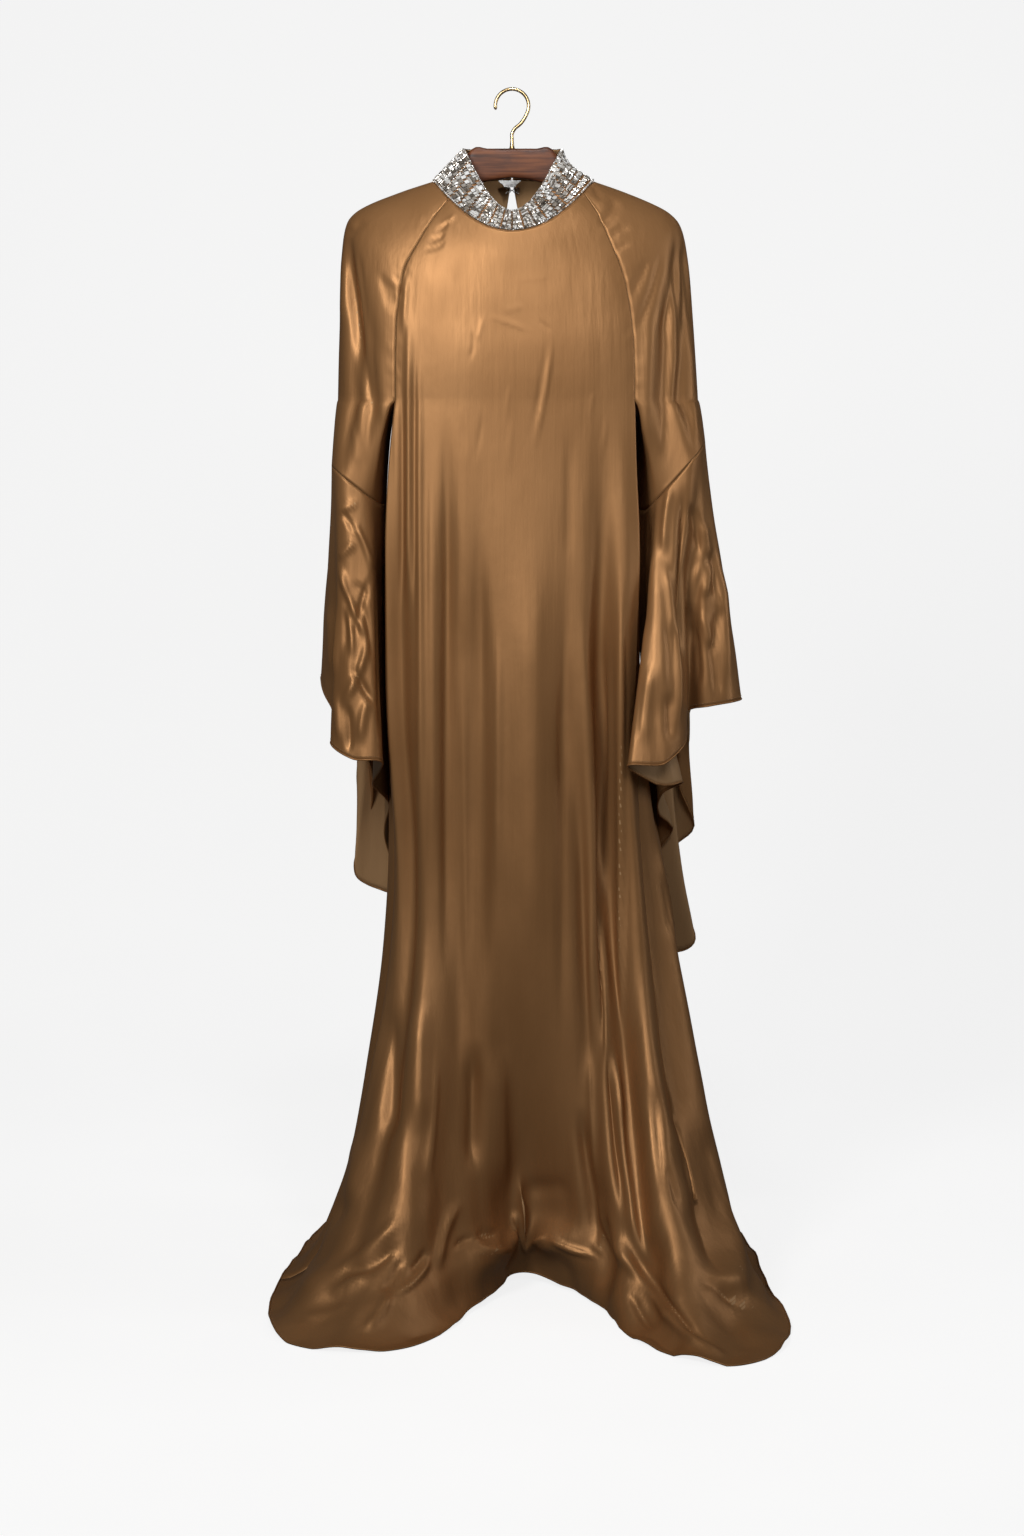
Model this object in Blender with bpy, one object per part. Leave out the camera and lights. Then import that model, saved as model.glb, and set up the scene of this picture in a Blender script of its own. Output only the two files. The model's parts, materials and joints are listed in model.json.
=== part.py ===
"""A floor-length satin kaftan dress with raglan sleeves, flounced cuffs and a jewelled collar, on a hanger.

Metres, +Z up, +X to the viewer's right, +Y away from the viewer. The origin is where the hook bears.
All heights in the tables are above the floor that the hem lies on.
"""
import math

import bmesh
import bpy
import numpy as np

# Driving dimensions
HANG_HEIGHT = 1.5207        # from the floor to the point where the hook bears
CLOTH = 0.0016              # thickness of the satin wall
SEAM_GAP = 0.0003           # between two panels at a seam
FLOOR_LIFT = 0.0006         # lowest cloth above the floor
SKIRT_TOP = 0.60            # below this height the skirt sweeps out to its hem
FRONT_CORNER = 60.0         # column angle, in degrees, where the front turns into the side
BACK_CORNER = 110.0         # column angle where the side turns into the back
CORNER_DEPTH = 0.82         # depth of a corner as a share of the panel's depth at its centre
ARCH_SAG = 0.022            # how far the underarm seam dips between front and back
SLIT_GAP = 0.0008           # between the two ends of the collar
KEYHOLE_LENGTH = 0.150      # the back keyhole, below the collar
KEYHOLE_WIDTH = 0.024
SWEEP_FALL = 0.30           # how long the skirt keeps its slope before it sweeps out
SWEEP_REACH = 0.16          # a hem that lies nearer than this meets the floor more upright
SWEEP_DROP = 0.10           # height over which it then does

# How many columns and rows each panel has
FRONT_COLUMNS = 32
WALL_COLUMNS = 8
BACK_COLUMNS = 24
SLEEVE_COLUMNS = 16
YOKE_ROWS = 8
BODY_ROWS = 6
SWEEP_ROWS = 13
SLEEVE_ROWS = 3
RUFFLE_ROWS = 8

PANELS = ("front", "back_left", "back_right", "sleeve_left", "sleeve_right", "flounce_left", "flounce_right")

# Colours, roughness and metallic value of each material
SATIN = ((0.30, 0.165, 0.075), 0.38, 0.0)
STONES = ((0.72, 0.71, 0.70), 0.20, 0.6)
WOOD = ((0.22, 0.085, 0.03), 0.45, 0.0)
BRASS = ((0.65, 0.48, 0.24), 0.30, 1.0)
STEEL = ((0.70, 0.70, 0.70), 0.25, 1.0)
LABEL_WHITE = ((0.85, 0.84, 0.82), 0.60, 0.0)


def table(columns, rows):
    """A short table as one array for each named column."""
    return {name: np.array([row[n] for row in rows], float) for n, name in enumerate(columns.split())}


# Rings of the yoke, from the neckline over the shoulders to the underarm. share is the way down.
YOKE = table(
    "share left right front back h_front h_side h_back",
    [
        (0.000, 0.0995, 0.1035, 0.090, 0.068, 1.343, 1.408, 1.416),
        (0.125, 0.1400, 0.1400, 0.096, 0.074, 1.318, 1.3955, 1.395),
        (0.250, 0.1800, 0.1780, 0.099, 0.079, 1.290, 1.380, 1.367),
        (0.375, 0.2020, 0.2020, 0.102, 0.082, 1.262, 1.366, 1.335),
        (0.500, 0.2115, 0.2150, 0.104, 0.084, 1.234, 1.348, 1.300),
        (0.640, 0.2165, 0.2240, 0.106, 0.085, 1.205, 1.305, 1.255),
        (0.820, 0.2190, 0.2310, 0.107, 0.086, 1.170, 1.225, 1.195),
        (1.000, 0.2220, 0.2370, 0.108, 0.086, 1.134, 1.134, 1.134),
    ],
)

# Half widths of the front and back panels at the raglan seams, at the same shares.
RAGLAN = table(
    "share front_left front_right back_left back_right",
    [
        (0.000, 0.079, 0.090, 0.070, 0.070),
        (0.125, 0.100, 0.108, 0.090, 0.090),
        (0.250, 0.118, 0.122, 0.107, 0.108),
        (0.375, 0.131, 0.133, 0.122, 0.124),
        (0.500, 0.138, 0.141, 0.132, 0.135),
        (0.640, 0.143, 0.147, 0.139, 0.143),
        (0.820, 0.145, 0.151, 0.144, 0.149),
        (1.000, 0.146, 0.153, 0.146, 0.152),
    ],
)

# Sections of the body below the underarm. round is 0 for a flat-sided section and 1 for an oval.
BODY = table(
    "height left right front back round",
    [
        (1.134, 0.146, 0.153, 0.108, 0.086, 0.00),
        (1.060, 0.154, 0.155, 0.110, 0.088, 0.00),
        (0.950, 0.159, 0.160, 0.114, 0.092, 0.00),
        (0.850, 0.160, 0.162, 0.118, 0.098, 0.05),
        (0.720, 0.160, 0.166, 0.123, 0.108, 0.20),
        (0.600, 0.158, 0.184, 0.128, 0.118, 0.50),
        (0.500, 0.159, 0.200, 0.132, 0.126, 0.75),
    ],
)

# The hem on the floor, as points by column angle. rise is its height over the floor there, and hug
# is how close the skirt stays to a plumb fall before it sweeps out.
HEM = table(
    "angle x y rise hug",
    [
        (-150, -0.175, 0.320, 0.000, 0.50),
        (-125, -0.258, 0.190, 0.002, 0.52),
        (-100, -0.285, 0.040, 0.000, 0.56),
        (-80, -0.303, -0.110, 0.003, 0.56),
        (-66, -0.301, -0.245, 0.000, 0.52),
        (-54, -0.272, -0.340, 0.002, 0.46),
        (-44, -0.206, -0.376, 0.000, 0.42),
        (-33, -0.128, -0.360, 0.001, 0.42),
        (-23, -0.076, -0.284, 0.003, 0.42),
        (-14, -0.036, -0.180, 0.006, 0.42),
        (-6, -0.002, -0.100, 0.012, 0.42),
        (4, 0.040, -0.088, 0.010, 0.42),
        (13, 0.082, -0.130, 0.004, 0.42),
        (22, 0.110, -0.205, 0.002, 0.42),
        (32, 0.150, -0.330, 0.000, 0.42),
        (42, 0.212, -0.410, 0.002, 0.42),
        (52, 0.268, -0.428, 0.000, 0.42),
        (61, 0.318, -0.380, 0.007, 0.42),
        (69, 0.340, -0.300, 0.000, 0.44),
        (84, 0.330, -0.110, 0.002, 0.45),
        (102, 0.320, 0.080, 0.000, 0.45),
        (125, 0.290, 0.230, 0.003, 0.45),
        (150, 0.180, 0.345, 0.000, 0.45),
        (180, 0.000, 0.385, 0.003, 0.45),
        (210, -0.175, 0.320, 0.000, 0.50),
    ],
)

# Folds of the body by column angle, at the underarm and at the hem. depth is over 0 for a ridge.
FOLDS = table(
    "top hem starts full depth half_width",
    [
        (-53, -52, 1.10, 0.80, -0.009, 4.5),
        (-43, -42, 1.05, 0.70, 0.008, 6.0),
        (-21, -26, 1.00, 0.50, -0.015, 9.0),
        (8, 4, 1.10, 0.70, 0.006, 13.0),
        (29, 22, 0.85, 0.45, -0.012, 4.5),
        (44, 35, 1.15, 0.65, -0.021, 5.0),
        (54, 44, 1.15, 0.80, 0.010, 6.0),
        (66, 58, 1.00, 0.60, -0.020, 6.0),
        (78, 72, 0.75, 0.45, 0.010, 6.5),
        (91, 88, 0.90, 0.50, -0.018, 7.0),
        (105, 103, 0.75, 0.45, 0.008, 7.0),
        (120, 119, 1.05, 0.60, -0.018, 7.0),
        (135, 134, 1.00, 0.60, 0.012, 8.0),
        (151, 150, 1.00, 0.55, -0.016, 7.5),
        (168, 168, 0.95, 0.50, 0.010, 8.0),
        (184, 185, 0.90, 0.50, -0.014, 8.0),
        (200, 201, 1.00, 0.55, 0.011, 7.5),
        (216, 217, 1.05, 0.60, -0.017, 7.5),
        (232, 233, 1.00, 0.60, 0.012, 7.0),
        (246, 248, 1.05, 0.60, -0.016, 6.5),
        (262, 263, 0.60, 0.35, 0.008, 7.0),
        (277, 279, 0.95, 0.50, -0.014, 6.5),
        (290, 292, 0.60, 0.35, 0.007, 6.0),
    ],
)

# Buckles where the cloth meets the floor: a ridge or trough across the columns, at a height.
BUCKLES = table(
    "angle height depth half_angle half_height",
    [
        (-2, 0.105, 0.020, 3.0, 0.034),
        (-12, 0.062, 0.016, 7.0, 0.024),
        (10, 0.068, 0.026, 9.0, 0.026),
        (24, 0.075, -0.016, 5.0, 0.040),
        (-38, 0.085, -0.010, 9.0, 0.030),
        (44, 0.070, -0.012, 9.0, 0.035),
        (-58, 0.040, 0.009, 8.0, 0.020),
        (60, 0.060, 0.010, 8.0, 0.025),
    ],
)

# Folds of the raglan sleeves, by ring angle from the front centre on the sleeve's own side.
SLEEVE_FOLDS = table(
    "side top low starts depth half_width",
    [
        (1, 74, 62, 0.42, -0.008, 5.0),
        (1, 62, 50, 0.50, -0.006, 4.5),
        (1, 112, 122, 0.45, -0.008, 7.0),
        (-1, 76, 60, 0.42, -0.009, 5.5),
        (-1, 57, 47, 0.58, -0.005, 4.0),
        (-1, 110, 120, 0.45, -0.008, 7.0),
    ],
)

# The seam between sleeve and flounce: where it lies at the body side and at the outer side. lean is
# how far its inner side comes in towards the body at the back.
# How late a flounce spreads below the elbow, by share of the way round it: 1 is straight.
FLARE = table(
    "share power",
    [
        (0.00, 1.15),
        (0.48, 1.15),
        (0.52, 2.60),
        (0.62, 2.60),
        (0.70, 1.15),
        (0.76, 1.15),
        (0.82, 2.60),
        (0.93, 2.60),
        (1.00, 1.15),
    ],
)

ELBOW = table(
    "side inner outer front back h_inner h_outer lean",
    [
        (1, 0.168, 0.246, 0.078, 0.074, 0.994, 1.082, 0.014),
        (-1, 0.165, 0.230, 0.074, 0.072, 1.002, 1.052, 0.007),
    ],
)

# The flounce hems, from the inner front corner outwards and round the back. share is the way round.
RIGHT_HEM = table(
    "share x y h",
    [
        (0.00, 0.150, -0.132, 0.674),
        (0.06, 0.190, -0.142, 0.683),
        (0.12, 0.217, -0.108, 0.707),
        (0.18, 0.222, -0.050, 0.738),
        (0.24, 0.251, -0.064, 0.748),
        (0.29, 0.291, -0.040, 0.753),
        (0.34, 0.288, 0.020, 0.752),
        (0.40, 0.256, 0.052, 0.752),
        (0.45, 0.240, 0.094, 0.745),
        (0.485, 0.218, 0.098, 0.640),
        (0.52, 0.242, 0.122, 0.566),
        (0.55, 0.216, 0.134, 0.532),
        (0.575, 0.220, 0.116, 0.486),
        (0.61, 0.245, 0.098, 0.422),
        (0.655, 0.207, 0.100, 0.404),
        (0.70, 0.181, 0.100, 0.466),
        (0.745, 0.193, 0.091, 0.508),
        (0.79, 0.188, 0.083, 0.530),
        (0.83, 0.209, 0.052, 0.574),
        (0.87, 0.190, 0.014, 0.600),
        (0.91, 0.188, -0.034, 0.630),
        (0.95, 0.216, -0.076, 0.652),
        (0.98, 0.184, -0.100, 0.652),
    ],
)
LEFT_HEM = table(
    "share x y h",
    [
        (0.00, 0.164, -0.108, 0.680),
        (0.08, 0.200, -0.122, 0.687),
        (0.16, 0.228, -0.098, 0.702),
        (0.24, 0.219, -0.044, 0.722),
        (0.32, 0.240, 0.006, 0.756),
        (0.39, 0.248, 0.050, 0.773),
        (0.45, 0.222, 0.066, 0.725),
        (0.51, 0.187, 0.072, 0.650),
        (0.56, 0.191, 0.100, 0.585),
        (0.61, 0.210, 0.108, 0.518),
        (0.67, 0.194, 0.116, 0.490),
        (0.74, 0.150, 0.106, 0.488),
        (0.80, 0.168, 0.072, 0.560),
        (0.87, 0.163, 0.026, 0.610),
        (0.94, 0.178, -0.034, 0.645),
    ],
)

# The jewelled collar: its two edges, and the columns of stones on it.
COLLAR_WALL = 0.0028
COLLAR_TOP = {"left": 0.0600, "right": 0.0625, "front": 0.047, "back": 0.047, "h": (1.3695, 1.449, 1.4525)}
COLLAR_STONE_COLUMNS = 42
COLLAR_RELIEF = 0.0016
COLLAR_ROWS = 3
COLLAR_SEAM = 0.0006        # clear of the panels below it
COLLAR_HOLLOW = 0.010       # how far its right side curves in on the way up
COLLAR_DIP = 2.3            # how sharply its top edge dips at the front

# The wooden hanger, as sections out from its centre.
HANGER = table(
    "x top bottom half_thickness",
    [
        (0.000, 1.4490, 1.4130, 0.0085),
        (0.030, 1.4490, 1.4085, 0.0085),
        (0.050, 1.4488, 1.4030, 0.0085),
        (0.0555, 1.4430, 1.4010, 0.0085),
        (0.066, 1.4330, 1.3955, 0.0085),
        (0.082, 1.4170, 1.3860, 0.0085),
        (0.100, 1.4045, 1.3750, 0.0090),
        (0.140, 1.3920, 1.3560, 0.0100),
        (0.170, 1.3800, 1.3430, 0.0110),
        (0.190, 1.3695, 1.3380, 0.0110),
        (0.199, 1.3610, 1.3400, 0.0090),
        (0.203, 1.3540, 1.3450, 0.0050),
    ],
)
HANGER_SIDES = 14
HOOK_WIRE = 0.00225         # radius
HOOK_BEND = 0.021           # radius of the hook's centreline
HOOK_FLARE = 1.6            # radius of the foot over the wire's
HOOK_CENTRE = 1.5020        # height of the hook's centre

LABEL_SIZE = (0.030, 0.016, 0.0008)
LABEL_CENTRE = -0.003       # x of its middle
LABEL_CLEAR = 0.0022        # from the back neck's cloth
LABEL_LEAN = 0.004          # how far its lower edge stands in from the cloth
LABEL_TAPER = 0.25          # how much shorter its ends are
LABEL_SHARES = (0.012, 0.035)       # where it starts on the yoke, and how far down it reaches
CLOSURE_HEIGHTS = (1.4015, 1.4330)  # beside the top of the keyhole, and on the collar
CLOSURE_WIRE = 0.0006
CLOSURE_RING = 0.0030


def smooth(values, key, column, at):
    """A column's value at the key, on a cubic curve through the table's rows."""
    order = np.argsort(values[key])
    x, y = values[key][order], values[column][order]
    at = np.clip(np.asarray(at, float), x[0], x[-1])
    slope = np.gradient(y, x)
    n = np.clip(np.searchsorted(x, at, side="right") - 1, 0, len(x) - 2)
    width = x[n + 1] - x[n]
    u = (at - x[n]) / width
    start = (1 + 2 * u) * (1 - u) ** 2 * y[n] + u * (1 - u) ** 2 * width * slope[n]
    end = u * u * (3 - 2 * u) * y[n + 1] + u * u * (u - 1) * width * slope[n + 1]
    return start + end


def around(values, key, column, at, period):
    """As smooth, for a closed curve whose key repeats after the period."""
    turn = np.concatenate([values[key] - period, values[key], values[key] + period])
    levels = np.tile(values[column], 3)
    kept = np.concatenate([[True], np.diff(turn) > 1e-6])
    return smooth({"key": turn[kept], "value": levels[kept]}, "key", "value", at)


def ease(share):
    """0 to 1 with level ends."""
    share = np.clip(share, 0.0, 1.0)
    return share * share * (3 - 2 * share)


def mix(a, b, share):
    return a + (b - a) * share


def stack(x, y, h):
    x, y, h = np.broadcast_arrays(x, y, h)
    return np.stack([x, y, h], -1)


# The yoke

def yoke_power(share):
    """How square the yoke's rings are: 1 is an oval."""
    return mix(1.0, 0.85, share)


def yoke_size(name, share):
    return smooth(YOKE, "share", name, share)


def yoke_ring(angle, share):
    """A point of the yoke at a ring angle in degrees, 0 at the front centre and 90 at the right."""
    sine, cosine = np.sin(np.radians(angle)), np.cos(np.radians(angle))
    power = yoke_power(share)
    left, right, front, back = (yoke_size(name, share) for name in ("left", "right", "front", "back"))
    half = np.where(sine >= 0, right, left)
    depth = np.where(cosine >= 0, -front, back)
    end = np.where(cosine >= 0, yoke_size("h_front", share), yoke_size("h_back", share))
    x = half * np.sign(sine) * np.abs(sine) ** power
    y = depth * np.abs(cosine) ** power
    side = yoke_size("h_side", share)
    return stack(x, y, side + (end - side) * cosine**2)


def ring_angle(x, share, back=False):
    """The ring angle at which the yoke has this x."""
    x, share = np.broadcast_arrays(np.asarray(x, float), np.asarray(share, float))
    half = np.where(x >= 0, yoke_size("right", share), yoke_size("left", share))
    sine = np.clip(np.abs(x) / half, 0, 1) ** (1 / yoke_power(share))
    angle = np.degrees(np.arcsin(sine)) * np.where(x >= 0, 1, -1)
    return 180 - angle if back else angle


def raglan(name, share):
    return smooth(RAGLAN, "share", name, share)


def panel_yoke(across, share, back):
    """The front or back panel above the underarm. across runs 0 to 1 as the column angle grows."""
    if back:
        x = mix(raglan("back_right", share), -raglan("back_left", share), across)
        column = mix(BACK_CORNER, 360 - BACK_CORNER, across)
    else:
        x = mix(-raglan("front_left", share), raglan("front_right", share), across)
        column = mix(-FRONT_CORNER, FRONT_CORNER, across)
    upper = yoke_ring(ring_angle(x, share, back), share)
    lower = body_ring(column, upper[..., 2])
    weight = ease((np.asarray(share) - 0.55) / 0.45)[..., None]
    return mix(upper, lower, weight * np.ones_like(upper))


def sleeve_angles(side, across, share):
    """Ring angles of a sleeve's columns, with the middle column on the shoulder line."""
    if side > 0:
        start = ring_angle(raglan("front_right", share), share)
        middle = 90.0
        end = ring_angle(raglan("back_right", share), share, back=True)
    else:
        start = ring_angle(-raglan("back_left", share), share, back=True)
        middle = 270.0
        end = 360 + ring_angle(-raglan("front_left", share), share)
    first = mix(start, middle, np.clip(across * 2, 0, 1))
    return np.where(across <= 0.5, first, mix(middle, end, np.clip(across * 2 - 1, 0, 1)))


def sleeve_yoke(side, across, share):
    """The outer part of a sleeve above the underarm, meeting the panels at its two raglan seams."""
    point = yoke_ring(sleeve_angles(side, across, share), share)
    zero, one = np.zeros_like(across), np.ones_like(across)
    if side > 0:
        first, last = panel_yoke(one, share, False), panel_yoke(zero, share, True)
    else:
        first, last = panel_yoke(one, share, True), panel_yoke(zero, share, False)
    start = first - yoke_ring(sleeve_angles(side, zero, share), share)
    end = last - yoke_ring(sleeve_angles(side, one, share), share)
    near = ease(1 - across / 0.4)[..., None]
    far = ease((across - 0.6) / 0.4)[..., None]
    return point + start * near + end * far


# The body below the underarm

def body_ring(angle, height):
    """A point of the body at a column angle in degrees: flat-sided near the underarm, oval at the skirt."""
    angle, height = np.broadcast_arrays(np.asarray(angle, float), np.asarray(height, float))
    angle = (angle + FRONT_CORNER) % 360 - FRONT_CORNER
    left, right = (smooth(BODY, "height", name, height) for name in ("left", "right"))
    front, back = (smooth(BODY, "height", name, height) for name in ("front", "back"))
    bend = math.sqrt(1 - CORNER_DEPTH**2)

    across = (angle + FRONT_CORNER) / (2 * FRONT_CORNER)
    front_x = mix(-left, right, across)
    front_y = -front * np.sqrt(np.clip(1 - (bend * (2 * across - 1)) ** 2, 0, 1))

    behind = (angle - BACK_CORNER) / (360 - 2 * BACK_CORNER)
    back_x = mix(right, -left, behind)
    back_y = back * np.sqrt(np.clip(1 - (bend * (2 * behind - 1)) ** 2, 0, 1))

    span = BACK_CORNER - FRONT_CORNER
    right_way = (angle - FRONT_CORNER) / span
    left_way = (angle - (360 - BACK_CORNER)) / span
    wall_right = mix(-front * CORNER_DEPTH, back * CORNER_DEPTH, right_way)
    wall_left = mix(back * CORNER_DEPTH, -front * CORNER_DEPTH, left_way)

    zones = [angle <= FRONT_CORNER, angle < BACK_CORNER, angle <= 360 - BACK_CORNER]
    flat_x = np.select(zones, [front_x, right, back_x], -left)
    flat_y = np.select(zones, [front_y, wall_right, back_y], wall_left)

    sine, cosine = np.sin(np.radians(angle)), np.cos(np.radians(angle))
    oval_x = np.where(sine >= 0, right, left) * sine
    oval_y = -np.where(cosine >= 0, front, back) * cosine
    share = smooth(BODY, "height", "round", height)
    return stack(mix(flat_x, oval_x, share), mix(flat_y, oval_y, share), height)


def sweep(angle, share):
    """The skirt from SKIRT_TOP (share 0) down and out to its hem on the floor (share 1)."""
    angle, share = np.broadcast_arrays(np.asarray(angle, float), np.asarray(share, float))
    turned = (angle + 150) % 360 - 150
    start = body_ring(angle, SKIRT_TOP)
    step = 0.04
    slope = (body_ring(angle, SKIRT_TOP - step) - body_ring(angle, SKIRT_TOP + step)) / (2 * step)
    hem = stack(*(around(HEM, "angle", name, turned, 360.0) for name in ("x", "y")), 0.0)
    hem[..., 2] = CLOTH + FLOOR_LIFT + around(HEM, "angle", "rise", turned, 360.0)
    out = hem - start
    out[..., 2] = 0
    reach = np.linalg.norm(out, axis=-1, keepdims=True)
    upright = 1 - ease(reach / SWEEP_REACH)
    first = start + slope * SWEEP_FALL
    second = hem - out * around(HEM, "angle", "hug", turned, 360.0)[..., None]
    second[..., 2:] += SWEEP_DROP * upright
    s = share[..., None]
    return start * (1 - s) ** 3 + 3 * first * s * (1 - s) ** 2 + 3 * second * s * s * (1 - s) + hem * s**3


def fold_depth(angle, level):
    """How far the folds push the body's wall out. level is the height, or its stand-in on the sweep."""
    total = np.zeros(np.broadcast(angle, level).shape)
    for top, hem, starts, full, depth, half in zip(*(FOLDS[name] for name in FOLDS)):
        centre = mix(hem, top, np.clip(level / 1.1, 0, 1))
        off = (angle - centre + 180) % 360 - 180
        grown = ease((starts - level) / (starts - full))
        flat = mix(0.35, 1.0, ease(level / 0.14))
        total = total + depth * grown * flat * np.exp(-((off / half) ** 2))
    return total


def buckle_depth(angle, height):
    """How far the buckles near the floor push the skirt out. height is the cloth's own height there."""
    total = np.zeros(np.broadcast(angle, height).shape)
    for centre, at, depth, half, tall in zip(*(BUCKLES[name] for name in BUCKLES)):
        off = (angle - centre + 180) % 360 - 180
        total = total + depth * np.exp(-((off / half) ** 2) - ((height - at) / tall) ** 2)
    return total


def sleeve_fold_depth(side, angle, share):
    """The same for the raglan sleeves, by ring angle and the share of the way down the yoke."""
    own = angle if side > 0 else 360 - angle
    total = np.zeros(np.broadcast(own, share).shape)
    for fold_side, top, low, starts, depth, half in zip(*(SLEEVE_FOLDS[name] for name in SLEEVE_FOLDS)):
        if fold_side == side:
            centre = mix(top, low, np.clip((share - starts) / (1 - starts), 0, 1.4))
            grown = ease((share - starts) / 0.3)
            total = total + depth * grown * np.exp(-(((own - centre) / half) ** 2))
    return total


# The sleeves below the underarm

def elbow_ring(side, turn):
    """The seam between sleeve and flounce. turn runs 0 to 1 from the inner front corner outwards."""
    row = list(ELBOW["side"]).index(side)
    names = "inner outer front back h_inner h_outer lean".split()
    inner, outer, front, back, low, high, lean = (ELBOW[name][row] for name in names)
    angle = 2 * math.pi * (turn - 0.34) + 0.5 * np.sin(2 * math.pi * turn) * 0.12
    along = 0.5 + 0.5 * np.sign(np.cos(angle)) * np.abs(np.cos(angle)) ** 0.7
    depth = np.sign(np.sin(angle)) * np.abs(np.sin(angle)) ** 0.7
    x = mix(inner - lean * np.clip(depth + 0.2, 0, 1), outer, along)
    y = np.where(depth < 0, front, back) * depth
    return stack(side * x, y, mix(low, high, along))


def ruffle(side, turn, down):
    """A flounce from the elbow seam (down 0) to its hem (down 1)."""
    values = RIGHT_HEM if side > 0 else LEFT_HEM
    hem = stack(*(around(values, "share", name, turn % 1.0, 1.0) for name in ("x", "y", "h")))
    hem[..., 0] *= side
    top = elbow_ring(side, turn)
    spread = np.asarray(down)[..., None] * np.array([1.0, 1.0, 1.0])
    spread[..., :2] = spread[..., :2] ** np.interp(turn, FLARE["share"], FLARE["power"])[..., None]
    return mix(top, hem, spread)


# The cloth as one surface, cut into panels. The back has a centre seam below its keyhole.

class Cloth:
    """A surface of shared points and of faces that each belong to a panel."""

    def __init__(self):
        self.points, self.push, self.faces, self.index = [], [], [], {}

    def grid(self, panel, keys, points, push):
        """Adds a panel's grid of points, rows down and columns round. Equal keys are one point."""
        rows, columns = points.shape[:2]
        number = np.zeros((rows, columns), int)
        for r in range(rows):
            for c in range(columns):
                key = keys(r, c)
                if key not in self.index:
                    self.index[key] = len(self.points)
                    self.points.append(points[r, c])
                    self.push.append(push[r, c])
                number[r, c] = self.index[key]
        for r in range(rows - 1):
            for c in range(columns - 1):
                corners = (number[r, c], number[r + 1, c], number[r + 1, c + 1], number[r, c + 1])
                self.faces.append((panel, corners))

    def normals(self, points):
        """Outward normals at the points, from the faces round each."""
        total = np.zeros_like(points)
        for _, corners in self.faces:
            a, b, c, d = points[list(corners)]
            normal = np.cross(c - a, d - b)
            total[list(corners)] += normal / (np.linalg.norm(normal) + 1e-12)
        return total / (np.linalg.norm(total, axis=1, keepdims=True) + 1e-12)

    def settle(self):
        """Pushes the folds out along the normals and keeps the cloth off the floor."""
        points = np.array(self.points)
        self.shape = points + self.normals(points) * np.array(self.push)[:, None]
        self.shape[:, 2] = np.maximum(self.shape[:, 2], FLOOR_LIFT)
        self.out = self.normals(self.shape)
        self.spread = np.ones(len(points))
        for _, corners in self.faces:
            a, b, c, d = self.shape[list(corners)]
            normal = np.cross(c - a, d - b)
            normal /= np.linalg.norm(normal) + 1e-12
            facing = np.maximum(self.out[list(corners)] @ normal, 0.45)
            self.spread[list(corners)] = np.maximum(self.spread[list(corners)], 1 / facing)

    def wall(self, panel, thickness):
        """The panel as a closed wall, drawn in at its edges by half the seam gap."""
        faces = [corners for name, corners in self.faces if name == panel]
        used = sorted({n for corners in faces for n in corners})
        place = {n: k for k, n in enumerate(used)}
        outer = self.shape[used].copy()
        edges = boundary(faces)
        draw = np.zeros_like(outer)
        for a, b, face in edges:
            middle = self.shape[list(face)].mean(0)
            along = self.shape[b] - self.shape[a]
            along /= np.linalg.norm(along) + 1e-12
            inwards = middle - self.shape[a]
            inwards -= along * (inwards @ along)
            inwards /= np.linalg.norm(inwards) + 1e-12
            draw[place[a]] += inwards
            draw[place[b]] += inwards
        length = np.linalg.norm(draw, axis=1, keepdims=True)
        outer += np.where(length > 0, draw / np.maximum(length, 1e-9), 0) * SEAM_GAP * 0.6
        inner = outer - self.out[used] * (thickness * self.spread[used])[:, None]
        low = inner[:, 2] < FLOOR_LIFT
        inner[low, 2] = FLOOR_LIFT
        outer[:, 2] = np.where(low, np.maximum(outer[:, 2], FLOOR_LIFT + thickness * 0.9), outer[:, 2])
        count = len(used)
        shell = [tuple(place[n] for n in corners) for corners in faces]
        shell += [tuple(place[n] + count for n in reversed(corners)) for corners in faces]
        shell += [(place[b], place[a], place[a] + count, place[b] + count) for a, b, _ in edges]
        return np.concatenate([outer, inner]), shell


def boundary(faces):
    """The edges that only one face has, each with that face, in the face's own direction."""
    seen = {}
    for corners in faces:
        for a, b in zip(corners, corners[1:] + corners[:1]):
            seen[(a, b)] = corners
    return [(a, b, corners) for (a, b), corners in seen.items() if (b, a) not in seen]


def build_cloth():
    """All panels of the dress but its collar, as one surface."""
    cloth = Cloth()
    yoke_shares = np.linspace(0, 1, YOKE_ROWS + 1)

    for back, columns in ((False, FRONT_COLUMNS), (True, BACK_COLUMNS)):
        across, share = np.meshgrid(np.linspace(0, 1, columns + 1), yoke_shares)
        points = panel_yoke(across, share, back)
        start, end = (BACK_CORNER, 360 - BACK_CORNER) if back else (-FRONT_CORNER, FRONT_CORNER)
        angle = mix(start, end, across)
        push = fold_depth(angle, points[..., 2]) * ease((share - 0.4) / 0.6)
        push *= ease(np.minimum(across, 1 - across) / 0.08)
        add_yoke_grid(cloth, points, push, back)

    for side in (1, -1):
        add_sleeve(cloth, side, yoke_shares)
        add_ruffle(cloth, side)
    add_body(cloth)
    return cloth


def seam_name(back, last):
    """Which raglan seam ends a panel: the first or the last of its columns."""
    return ("BR", "BL")[last] if back else ("FL", "FR")[last]


def slit_half_width(height):
    """Half the width of the back slit: a narrow gap at the collar, then the drop-shaped keyhole."""
    top = float(smooth(YOKE, "share", "h_back", 0.0))
    down = (top - height) / KEYHOLE_LENGTH
    if down >= 1:
        return 0.0
    return SLIT_GAP / 2 + KEYHOLE_WIDTH / 2 * max(0.0, math.sin(math.pi * down**1.4)) ** 0.8


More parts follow.
